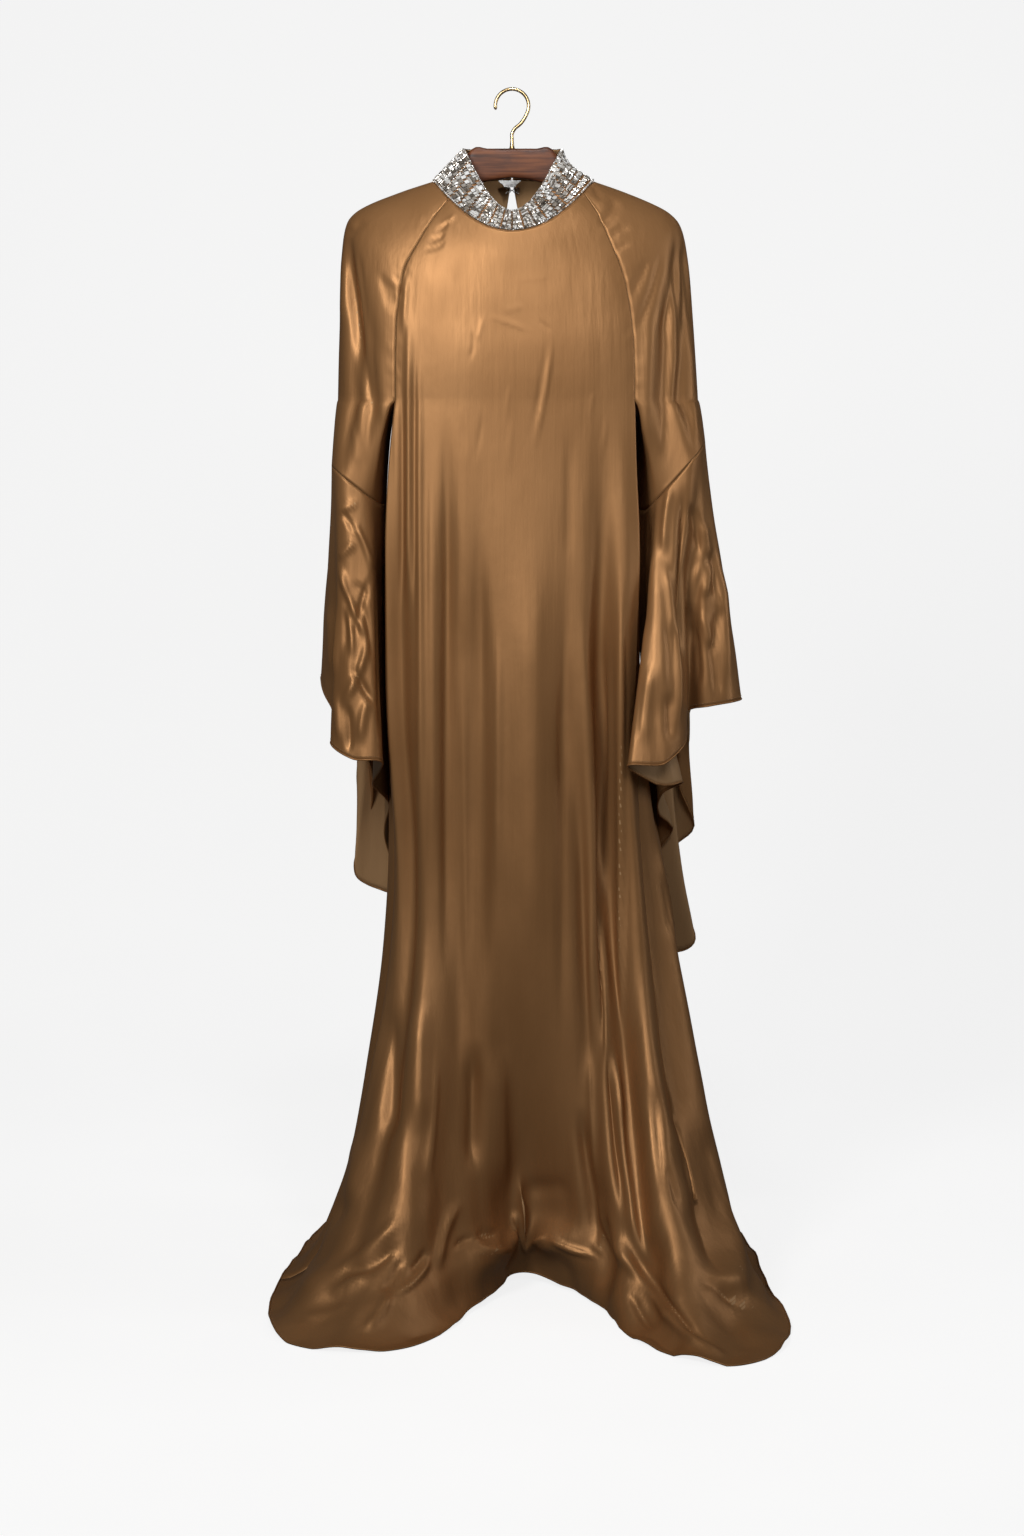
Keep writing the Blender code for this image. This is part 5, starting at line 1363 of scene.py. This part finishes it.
def add_mesh(name, points, faces, looks, slots=None, grain=None, tone=None, smooth_angle=None):
    """A mesh object in the frame. Points carry heights above the floor, and faces all have the same sides."""
    mesh = bpy.data.meshes.new(name)
    points = np.asarray(points, float) - np.array([0.0, 0.0, HANG_HEIGHT])
    faces = np.asarray(faces, np.int32)
    sides = faces.shape[1]
    mesh.vertices.add(len(points))
    mesh.vertices.foreach_set("co", points.astype(np.float32).ravel())
    mesh.loops.add(faces.size)
    mesh.loops.foreach_set("vertex_index", faces.ravel())
    mesh.polygons.add(len(faces))
    mesh.polygons.foreach_set("loop_start", np.arange(0, faces.size, sides, dtype=np.int32))
    mesh.polygons.foreach_set("loop_total", np.full(len(faces), sides, np.int32))
    for look in looks:
        mesh.materials.append(look)
    if slots is not None:
        mesh.polygons.foreach_set("material_index", np.asarray(slots, np.int32))
    if grain is not None:
        layer = mesh.uv_layers.new(name="grain")
        layer.data.foreach_set("uv", np.asarray(grain)[faces.ravel()].astype(np.float32).ravel())
    if tone is not None:
        layer = mesh.attributes.new("tone", "FLOAT", "POINT")
        layer.data.foreach_set("value", np.asarray(tone, np.float32))
    mesh.update(calc_edges=True)
    mesh.validate()
    if smooth_angle is None:
        mesh.shade_flat()
    else:
        mesh.shade_smooth()
        if smooth_angle < 180:
            mesh.set_sharp_from_angle(angle=math.radians(smooth_angle))
    made = new_object(name, mesh)
    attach(made, "root")
    return made


class Pile:
    """Many small shapes gathered into one mesh."""

    def __init__(self):
        self.points, self.faces, self.tones, self.slots, self.count = [], [], [], [], 0

    def add(self, points, faces, tone=0.5, slot=0):
        self.points.append(points)
        self.faces.append(np.asarray(faces) + self.count)
        self.tones.append(np.full(len(points), tone))
        self.slots.append(np.full(len(faces), slot))
        self.count += len(points)

    def build(self, name, looks, smooth_angle=None):
        return add_mesh(
            name,
            np.concatenate(self.points),
            np.concatenate(self.faces),
            looks,
            slots=np.concatenate(self.slots),
            tone=np.concatenate(self.tones),
            smooth_angle=smooth_angle,
        )


def tube(path, radius, sides=8, closed=False, up=(0.0, 0.0, 1.0)):
    """A round tube along a path, with its ends filled by a ring of thin faces where it is open."""
    path = np.asarray(path, float)
    if closed:
        along = np.roll(path, -1, 0) - np.roll(path, 1, 0)
    else:
        along = np.gradient(path, axis=0)
    along /= np.linalg.norm(along, axis=1, keepdims=True) + 1e-12
    side = np.cross(along, np.broadcast_to(up, path.shape))
    side /= np.linalg.norm(side, axis=1, keepdims=True) + 1e-9
    lift = np.cross(side, along)
    turn = np.linspace(0, 2 * np.pi, sides, endpoint=False)
    ring = np.cos(turn)[None, :, None] * side[:, None] + np.sin(turn)[None, :, None] * lift[:, None]
    reach = np.broadcast_to(np.asarray(radius, float), (len(path),))
    points = path[:, None] + ring * reach[:, None, None]
    numbers = np.arange(len(path) * sides).reshape(len(path), sides)
    rows = np.concatenate([numbers, numbers[:1]]) if closed else numbers
    faces = ring_faces(rows)
    points = points.reshape(-1, 3)
    if not closed:
        tips = np.array([path[0], path[-1]])
        first, last = len(points), len(points) + 1
        points = np.concatenate([points, tips])
        half = sides // 2
        for row, tip, turned in ((numbers[0], first, True), (numbers[-1], last, False)):
            for k in range(half):
                quad = [tip, row[2 * k], row[2 * k + 1], row[(2 * k + 2) % sides]]
                faces = np.concatenate([faces, [quad if turned else quad[::-1]]])
    return points, faces


def ring_faces(rows):
    """Faces between rings of equal length, each closed on itself."""
    after = np.roll(rows, -1, 1)
    return np.stack([rows[:-1], rows[1:], after[1:], after[:-1]], -1).reshape(-1, 4)


# The satin pieces, with their hems and stitches

def build_satin(cloth, looks):
    for panel, (width, length, area) in PANEL_CUTS.items():
        points, quads, grain, slots = shell_mesh(cloth, panel)
        made = add_mesh(f"satin_{panel}", points, quads, looks, slots=slots, grain=grain, smooth_angle=180)
        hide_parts(*PANEL_NODES.get(panel, (panel,)))
        trims = build_trims(cloth, panel, looks[0])


def build_trims(cloth, panel, look):
    """The rolled hem and its line of stitches on a panel's lowest edge."""
    rows = cloth.hems.get(panel)
    if not rows:
        return []
    closed = panel.startswith("flounce")
    edge, above = (cloth.shape[numbers] for numbers in rows)
    out = cloth.out[rows[0]]
    middle = edge - out * SHELL / 2
    middle[:, 2] = np.maximum(middle[:, 2] + 0.0006, FLOOR_LIFT + HEM_RADIUS)
    points, faces = tube(middle, HEM_RADIUS, 6, closed)
    hem = add_mesh(f"hem_{panel}", points, faces, [look], grain=np.zeros((len(points), 2)), smooth_angle=180)
    stitches = Pile()
    line = above + cloth.out[rows[1]] * 0.0001
    add_stitches(stitches, line, cloth.out[rows[1]])
    thread = stitches.build(f"stitches_{panel}", [MATERIALS["thread"]], smooth_angle=180)
    return [hem, thread]


def add_stitches(pile, line, out):
    """A row of stitches along a line on the cloth."""
    steps = np.linalg.norm(np.diff(line, axis=0), axis=1)
    place = np.concatenate([[0], np.cumsum(steps)])
    count = int(place[-1] / STITCH_PITCH)
    starts = np.arange(count) * STITCH_PITCH
    at = np.stack([starts, starts + 0.25 * STITCH_PITCH, starts + 0.7 * STITCH_PITCH], 1)
    for k in range(count):
        points = np.stack([np.interp(at[k], place, line[:, n]) for n in range(3)], 1)
        normal = np.array([np.interp(at[k, 1], place, out[:, n]) for n in range(3)])
        points[1] += normal * STITCH_RISE
        shape, faces = tube(points, STITCH_THREAD, 4, up=normal)
        pile.add(shape, faces)


# The jewelled collar

def collar_edge(angle, top):
    """A point of the collar's upper or lower edge at a ring angle."""
    if not top:
        return yoke_ring(angle, 0.0)
    sine, cosine = np.sin(np.radians(angle)), np.cos(np.radians(angle))
    low, side, high = COLLAR_TOP["h"]
    x = np.where(sine >= 0, COLLAR_TOP["right"], COLLAR_TOP["left"]) * sine
    y = -np.where(cosine >= 0, COLLAR_TOP["front"], COLLAR_TOP["back"]) * cosine
    h = side + np.where(cosine >= 0, low - side, high - side) * np.abs(cosine) ** COLLAR_DIP
    return stack(x, y, h)


def collar_point(angle, up):
    """A point of the collar's outer face, up from its seam (0) to its top edge (1)."""
    angle, up = np.broadcast_arrays(np.asarray(angle, float), np.asarray(up, float))
    point = mix(collar_edge(angle, False), collar_edge(angle, True), up[..., None])
    point[..., 2] += COLLAR_SEAM * (1 - up)
    point[..., 0] -= COLLAR_HOLLOW * np.sin(np.pi * up) * np.clip(np.sin(np.radians(angle)), 0, 1) ** 2
    return point


def collar_frame(angle, up):
    """A place on the collar with the directions round it, up it and out of it."""
    place = collar_point(angle, up)
    along = collar_point(angle + COLLAR_STEP, up) - collar_point(angle - COLLAR_STEP, up)
    rise = collar_point(angle, np.asarray(up) + 0.01) - collar_point(angle, np.asarray(up) - 0.01)
    out = np.cross(along, rise)
    out /= np.linalg.norm(out)
    along /= np.linalg.norm(along)
    return place, along, np.cross(out, along), out


def build_collar_band():
    """The cloth band under the stones, open at the back."""
    end = math.degrees(SLIT_GAP / 2 / COLLAR_TOP["back"])
    angles = np.linspace(-180 + end, 180 - end, BAND_COLUMNS + 1)
    ups = np.linspace(0, 1, BAND_ROWS + 1)[::-1]
    face = collar_point(angles[None, :], ups[:, None])
    ahead = collar_point(angles[None, :] + COLLAR_STEP, ups[:, None])
    along = ahead - collar_point(angles[None, :] - COLLAR_STEP, ups[:, None])
    rise = collar_edge(angles, True) - collar_edge(angles, False)
    normal = np.cross(along, rise[None])
    normal /= np.linalg.norm(normal, axis=-1, keepdims=True)
    edge = ease(np.minimum(ups, 1 - ups) / 0.06)[:, None, None]
    outer = face - normal * (BAND_SINK + 0.0005 * (1 - edge))
    inner = face - normal * (BAND_SINK + BAND_WALL)
    faces = grid_faces(np.arange(face[..., 0].size).reshape(face.shape[:2]))
    grain = grain_of(face).reshape(-1, 2)
    points, quads, grain, slots = closed_sheet(faces, outer.reshape(-1, 3), inner.reshape(-1, 3), grain)
    looks = [MATERIALS["satin"], MATERIALS["satin_reverse"]]
    band = add_mesh("collar_band", points, quads, looks, slots=slots, grain=grain, smooth_angle=60)
    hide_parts("collar")


def stone_shape(width, height, rise, cut):
    """A cut stone on the plane: a girdle with cut corners, a table over it and a shallow pavilion below."""
    a, b = width / 2, height / 2
    c = cut * min(a, b)
    right, left = [(a, -b + c), (a, b - c)], [(-a, b - c), (-a, -b + c)]
    ring = np.array([*right, (a - c, b), (-a + c, b), *left, (-a + c, -b), (a - c, -b)])
    levels = [(0.86, 0.25), (1.0, 0.55), (0.80, 0.85), (0.52, 1.0)]
    points = np.concatenate([np.column_stack([ring * share, np.full(8, up * rise)]) for share, up in levels])
    rows = np.arange(8 * len(levels)).reshape(len(levels), 8)
    after = np.roll(rows, -1, 1)
    sides = np.stack([rows[:-1], after[:-1], after[1:], rows[1:]], -1).reshape(-1, 4)
    top, low = rows[-1], rows[0]
    caps = [top[[0, 1, 2, 3]], top[[0, 3, 4, 7]], top[[4, 5, 6, 7]]]
    caps += [low[[3, 2, 1, 0]], low[[7, 4, 3, 0]], low[[7, 6, 5, 4]]]
    return points, np.concatenate([sides, np.array(caps)])


def box_shape(width, height, low, high, narrow):
    """A block whose top is narrower than its foot."""
    corners = np.array([(-1, -1), (1, -1), (1, 1), (-1, 1)]) * [width / 2, height / 2]
    points = np.concatenate([
        np.column_stack([corners, np.full(4, low)]),
        np.column_stack([corners * narrow, np.full(4, high)]),
    ])
    faces = [(3, 2, 1, 0), (4, 5, 6, 7), (0, 1, 5, 4), (1, 2, 6, 5), (2, 3, 7, 6), (3, 0, 4, 7)]
    return points, np.array(faces)


def ball_shape(radius):
    """A cube of four faces a side, blown up to a ball."""
    grid = np.array([-1.0, 0.0, 1.0])
    points, faces = [], []
    for axis in range(3):
        for sign in (-1, 1):
            start = len(points)
            for u in grid:
                for v in grid:
                    place = np.insert(np.array([u, v]), axis, sign)
                    points.append(place / np.linalg.norm(place) * radius)
            for i in range(2):
                for j in range(2):
                    a = start + i * 3 + j
                    quad = [a, a + 3, a + 4, a + 1]
                    turned = (sign > 0) == (axis != 1)
                    faces.append(quad if turned else quad[::-1])
    return merge_points(np.array(points), np.array(faces))


def merge_points(points, faces):
    """Makes one point of points that lie together."""
    _, first, number = np.unique(np.round(points, 7), axis=0, return_index=True, return_inverse=True)
    return points[first], number.ravel()[faces]


def set_on(shape, spot, turn=0.0, shift=(0.0, 0.0)):
    """A shape on the plane, turned and shifted there, set on a spot of the collar."""
    place, along, rise, out = spot
    cosine, sine = math.cos(turn), math.sin(turn)
    x = shape[:, 0] * cosine - shape[:, 1] * sine + shift[0]
    y = shape[:, 0] * sine + shape[:, 1] * cosine + shift[1]
    return place + x[:, None] * along + y[:, None] * rise + shape[:, 2:] * out


def add_stone(pile, spot, width, height, draw, shift):
    """One stone in its silver frame, with a prong at each corner."""
    turn = draw.normal(0.0, 0.035)
    frame, faces = box_shape(width, height, FRAME_SINK, FRAME_RISE, 0.93)
    pile.add(set_on(frame, spot, turn, shift), faces, draw.uniform(0.3, 0.7), 1)
    rise = STONE_RISE * draw.uniform(0.85, 1.2)
    stone, faces = stone_shape(width * 0.84, height * 0.84, rise, draw.choice([0.12, 0.3, 0.5]))
    stone[:, :2] += np.outer(stone[:, 2] / rise, draw.normal(0, 0.00012, 2))
    pile.add(set_on(stone, spot, turn, shift), faces, draw.beta(1.6, 1.1), 0)
    for x in (-0.44, 0.44):
        for y in (-0.44, 0.44):
            shape, faces = box_shape(PRONG, PRONG, FRAME_SINK, STONE_RISE * 0.8, 0.6)
            shape[:, :2] += (x * width, y * height)
            pile.add(set_on(shape, spot, turn, shift), faces, 0.6, 1)


def add_cell(pile, column, row, draw):
    """The stones of one cell of the collar: one, two or three wide, some of them in halves."""
    centre = -180 + (column + 0.5) * 360 / STONE_COLUMNS
    low, high = STONE_BAND
    up = mix(low, high, (row + 0.5) / STONE_ROWS)
    left, right = (collar_point(centre + side * 180 / STONE_COLUMNS, up) for side in (-1, 1))
    width = float(np.linalg.norm(right - left)) - COLUMN_GAP
    height = float(np.linalg.norm(collar_point(centre, high) - collar_point(centre, low))) / STONE_ROWS
    spot = collar_frame(centre, up)
    large = abs(math.sin(math.radians(centre))) > 0.6
    count = draw.choice([1, 2, 3], p=[0.12, 0.68, 0.20] if large else [0.10, 0.45, 0.45])
    if width < 0.0078:
        count = min(count, 2)
    shares = draw.uniform(0.8, 1.25, count)
    shares /= shares.sum()
    start = -width / 2
    for share in shares:
        wide = width * share
        middle = start + wide / 2
        start += wide
        halves = draw.choice([1, 2], p=[0.72, 0.28] if large else [0.5, 0.5])
        if count == 1:
            halves = 2
        tall = height / halves
        for n in range(halves):
            shift = (middle, (n + 0.5) * tall - height / 2)
            add_stone(pile, spot, wide - STONE_CLEAR, tall - STONE_CLEAR, draw, shift)


def build_stones():
    """Columns of stones with a fine silver chain between some, and round stones along both edges."""
    draw = np.random.RandomState(11)
    pile = Pile()
    for column in range(STONE_COLUMNS):
        for row in range(STONE_ROWS):
            add_cell(pile, column, row, draw)
        if draw.uniform() < 0.55 and column:
            angle = -180 + column * 360 / STONE_COLUMNS
            ups = np.linspace(0.06, 0.95, 12)
            spots = [collar_frame(angle, up) for up in ups]
            path = np.array([place + out * 0.0006 for place, _, _, out in spots])
            points, faces = tube(path, 0.00042, 6)
            pile.add(points, faces, 0.7, 1)
    bead, bead_faces = ball_shape(1.0)
    for up, pitch, radius in ((0.022, 0.0031, 0.00125), (0.975, 0.0027, 0.00115)):
        angles = np.linspace(-179.4, 179.4, 1441)
        path = collar_point(angles, up)
        run = np.concatenate([[0], np.cumsum(np.linalg.norm(np.diff(path, axis=0), axis=1))])
        for place in np.interp(np.arange(pitch / 2, run[-1], pitch), run, angles):
            spot = collar_frame(place, up)
            size = radius * draw.uniform(0.85, 1.1)
            cup, cup_faces = box_shape(2.1 * size, 2.1 * size, FRAME_SINK, 0.0006, 0.8)
            pile.add(set_on(cup, spot, draw.uniform(0, 1.5)), cup_faces, 0.5, 1)
            shape = bead * size + [0, 0, 0.0004 + 0.6 * size]
            pile.add(set_on(shape, spot, draw.uniform(0, 1.5)), bead_faces, draw.beta(1.8, 0.9), 0)
    made = pile.build("collar_stones", [MATERIALS["stone"], MATERIALS["silver"]])
    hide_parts("collar")


# The closures, the label, the hanger and its hook

def build_closures():
    """Hooks and eyes of bent wire where the frame has its rings."""
    for n in (1, 2):
        for name in ("eye", "hook"):
            node = f"{name}_{n}"
            low, high = (np.array(corner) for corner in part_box(node))
            centre = (low + high) / 2 + [0, 0, HANG_HEIGHT]
            across = np.array([1.0, 0.0, 0.0])
            upright = np.array([0.0, 0.0, 1.0])
            inwards = np.array([0.0, -1.0, 0.0])
            pile = Pile()
            towards = 1 if name == "eye" else -1
            path = []
            for degrees in range(-150, 151, 15):
                turn = math.radians(degrees)
                bow = -towards * math.cos(turn) * across + math.sin(turn) * upright
                path.append(centre + CLOSURE_BOW * bow)
            path.insert(0, centre + CLOSURE_FOOT * towards * across - 0.0022 * upright)
            path.append(centre + CLOSURE_FOOT * towards * across + 0.0022 * upright)
            points, faces = tube(np.array(path), CLOSURE_WIRE, 8, up=inwards)
            pile.add(points, faces)
            for sign in (-1, 1):
                ring = []
                for degrees in range(0, 360, 30):
                    turn = math.radians(degrees)
                    spot = centre + towards * CLOSURE_FOOT * across + sign * CLOSURE_SPREAD * upright
                    ring.append(spot + CLOSURE_RING * (math.cos(turn) * across + math.sin(turn) * upright))
                points, faces = tube(np.array(ring), CLOSURE_WIRE, 8, True, up=inwards)
                pile.add(points, faces)
            if name == "hook":
                bill = [(0.0, 0.0), (0.0030, 0.0012), (0.0046, 0.0011), (0.0052, 0.0002), (0.0040, -0.0004)]
                path = [centre + x * across + out * inwards for x, out in bill]
                points, faces = tube(np.array(path), 0.00055, 8, up=upright)
                pile.add(points, faces)
            made = pile.build(node + "_wire", [MATERIALS["steel"]], smooth_angle=180)
            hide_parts(node)


def build_label():
    """A blank woven label, folded at its lower edge."""
    low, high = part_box("label")
    across = np.linspace(-0.5, 0.5, 29)
    down = np.linspace(0, 1, 13)
    top = float(high[2]) + HANG_HEIGHT
    width, height = float(high[0] - low[0]) - 0.0006, float(high[2] - low[2])
    middle = float(high[0] + low[0]) / 2
    u, v = np.meshgrid(across, down)
    narrow = 1 - 0.48 * ease(v / 0.9)
    x = middle + u * width * narrow
    back = np.interp(np.abs(u), [0, 0.5], [float(high[1]) - 0.0008, float(high[1]) - 0.0052])
    y = back - 0.0026 * v - 0.0012 * np.sin(np.pi * v) * (1 - (2 * u) ** 2)
    h = top - 0.0004 - v * (height - 0.0009)
    face = stack(x, y, h)
    step_u, step_v = np.gradient(face, axis=1), np.gradient(face, axis=0)
    normal = np.cross(step_u, step_v)
    normal /= np.linalg.norm(normal, axis=-1, keepdims=True)
    thick = 0.00035 + 0.0002 * ease((v - 0.86) / 0.1)[..., None]
    faces = grid_faces(np.arange(face[..., 0].size).reshape(face.shape[:2]))
    grain = np.stack([u * width, v * height], -1).reshape(-1, 2)
    outer, inner = (face + normal * thick).reshape(-1, 3), (face - normal * thick).reshape(-1, 3)
    points, quads, grain, _ = closed_sheet(faces, outer, inner, grain)
    if np.cross(step_v[0, 0], step_u[0, 0]) @ normal[0, 0] < 0:
        quads = quads[:, ::-1]
    made = add_mesh("label_blank", points, quads, [MATERIALS["label"]], grain=grain, smooth_angle=50)
    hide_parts("label")


def build_hanger():
    """The hanger's wooden arms and neck block."""
    block, shoulder = np.linspace(0, 0.05, 12)[:-1], np.linspace(0.05, 0.06, 8)[:-1]
    half = np.concatenate([block, shoulder, np.linspace(0.06, HANGER_END, 46)])
    places = np.concatenate([-half[:0:-1], half])
    turn = np.linspace(0, 2 * np.pi, HANGER_SIDES, endpoint=False)
    sine, cosine = np.sin(turn), np.cos(turn)
    rings = []
    for x in places:
        names = ("top", "bottom", "half_thickness")
        top, bottom, thick = (float(smooth(HANGER, "x", name, abs(x))) for name in names)
        power = mix(1.0, 0.45, float(ease((0.075 - abs(x)) / 0.03)))
        y = thick * np.sign(cosine) * np.abs(cosine) ** power
        h = (top + bottom) / 2 + (top - bottom) / 2 * np.sign(sine) * np.abs(sine) ** power
        rings.append(stack(x, y, h))
    rings = np.array(rings)
    rings[:, :, 0] = places[:, None]
    tips = []
    for end in (0, -1):
        for share in (0.7, 0.35):
            ring = rings[end].copy()
            centre = ring.mean(0)
            ring = centre + (ring - centre) * share
            ring[:, 0] += (-1 if end == 0 else 1) * 0.0006 * (1 - share) * 1.5
            tips.append(ring)
    rings = np.concatenate([[tips[1], tips[0]], rings, [tips[2], tips[3]]])
    numbers = np.arange(rings.shape[0] * HANGER_SIDES).reshape(-1, HANGER_SIDES)
    faces = ring_faces(numbers)
    half_turn = HANGER_SIDES // 2
    for row, turned in ((numbers[0], False), (numbers[-1], True)):
        for k in range(half_turn - 1):
            quad = [row[k], row[k + 1], row[HANGER_SIDES - 2 - k], row[HANGER_SIDES - 1 - k]]
            faces = np.concatenate([faces, [quad if turned else quad[::-1]]])
    made = add_mesh("hanger_arms", rings.reshape(-1, 3), faces[:, ::-1], [MATERIALS["wood"]], smooth_angle=45)
    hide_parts("hanger_wood")


def hook_path():
    """Centreline of the hook: a shank over the wood that bends into an open ring."""
    foot = float(HANGER["top"][0]) + SEAM_GAP
    path = [(0.0, foot), (0.0, foot + 0.004), (0.0, foot + 0.012), (0.0, foot + 0.018)]
    path += [(0.0035, foot + 0.0245), (0.0105, foot + 0.0305)]
    for degrees in range(-28, 206, 13):
        turn = math.radians(degrees)
        path.append((HOOK_BEND * math.cos(turn), HOOK_CENTRE + HOOK_BEND * math.sin(turn)))
    return np.array(path)


def build_hook():
    path = hook_path()
    steps = np.linalg.norm(np.diff(path, axis=0), axis=1)
    run = {"key": np.concatenate([[0], np.cumsum(steps)]), "x": path[:, 0], "h": path[:, 1]}
    at = np.linspace(0, run["key"][-1], 160)
    x, h = smooth(run, "key", "x", at), smooth(run, "key", "h", at)
    radius = HOOK_WIRE * (1 + (HOOK_FLARE - 1) * np.exp(-at / 0.0035))
    radius = radius * np.clip(np.sqrt(np.clip((at[-1] - at) / HOOK_WIRE, 0, 1)), 0.35, 1)
    points, faces = tube(stack(x, 0.0, h), radius, 20, up=(0.0, 1.0, 0.0))
    made = add_mesh("hook_wire", points, faces, [MATERIALS["brass"]], smooth_angle=50)
    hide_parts("hanger_hook")


# The stage, the lights and the camera

def build_stage():
    """A pale floor that curves up into a backdrop."""
    profile = [(-STAGE_REACH, 0.0), (CURVE_START, 0.0)]
    for degrees in range(10, 91, 10):
        turn = math.radians(degrees)
        profile.append((CURVE_START + CURVE_RADIUS * math.sin(turn), CURVE_RADIUS * (1.0 - math.cos(turn))))
    profile.append((CURVE_START + CURVE_RADIUS, WALL_TOP))
    profile = np.array(profile)
    left = np.stack([np.full(len(profile), -STAGE_REACH), profile[:, 0], profile[:, 1]], 1)
    right = left * [-1, 1, 1]
    numbers = np.arange(2 * len(profile)).reshape(2, len(profile))
    faces = np.stack([numbers[0, :-1], numbers[1, :-1], numbers[1, 1:], numbers[0, 1:]], -1)
    mesh = bpy.data.meshes.new("floor")
    points = np.concatenate([left, right]) - [0, 0, HANG_HEIGHT]
    mesh.from_pydata(points.tolist(), [], faces.tolist())
    mesh.shade_smooth()
    mesh.materials.append(MATERIALS["floor"])
    made = new_object("floor", mesh)
    # The paper neither lights the cloth nor mirrors in it
    made.visible_diffuse = False
    made.visible_glossy = False


def add_light(name, place, target, size, power, colour=(1.0, 1.0, 1.0), beam=180.0):
    """A rectangular lamp at a place, turned to a target. power is in watts and beam in degrees."""
    data = bpy.data.lights.new(name, "AREA")
    data.shape = "RECTANGLE"
    data.size, data.size_y = size
    data.energy = power
    data.spread = math.radians(beam)
    data.color = colour
    made = new_object(name, data)
    place, target = np.array(place, float), np.array(target, float)
    made.location = place - [0, 0, HANG_HEIGHT]
    towards = Vector(target - place)
    made.rotation_euler = towards.to_track_quat("-Z", "Y").to_euler()


def build_lights():
    add_light("key", place=(-0.9, -2.1, 2.0), target=(0.05, 0.0, 1.15), size=(0.6, 0.8), power=19.0,
              colour=(1.0, 0.985, 0.955), beam=130.0)
    add_light("front", place=(0.5, -2.9, 2.1), target=(0.0, 0.0, 1.10), size=(0.9, 0.6), power=9.0, beam=120.0)
    add_light("side", place=(1.5, -0.2, 1.3), target=(0.1, 0.05, 0.9), size=(0.3, 1.2), power=4.0,
              colour=(0.98, 0.99, 1.0))
    add_light("neck", place=(0.05, -1.1, 2.7), target=(0.0, 0.04, 1.36), size=(0.2, 0.2), power=0.8, beam=40.0)
    world = bpy.data.worlds.new("studio")
    world.use_nodes = True
    background = world.node_tree.nodes["Background"]
    background.inputs["Color"].default_value = (1, 1, 1, 1)
    background.inputs["Strength"].default_value = 0.07
    bpy.context.scene.world = world


def build_camera():
    data = bpy.data.cameras.new("camera")
    data.lens = LENS
    data.sensor_width = SENSOR
    made = new_object("camera", data)
    made.location = (0.0, -EYE_DISTANCE, EYE_HEIGHT - HANG_HEIGHT)
    made.rotation_euler = (math.radians(90 - CAMERA_TILT), 0.0, 0.0)
    bpy.context.scene.camera = made


def main():
    build_camera()
    cloth = build_cloth()
    build_satin(cloth, [MATERIALS["satin"], MATERIALS["satin_reverse"]])
    build_collar_band()
    build_stones()
    build_closures()
    build_label()
    build_hanger()
    build_hook()
    build_stage()
    build_lights()
    bpy.context.scene.view_settings.view_transform = "Standard"


main()
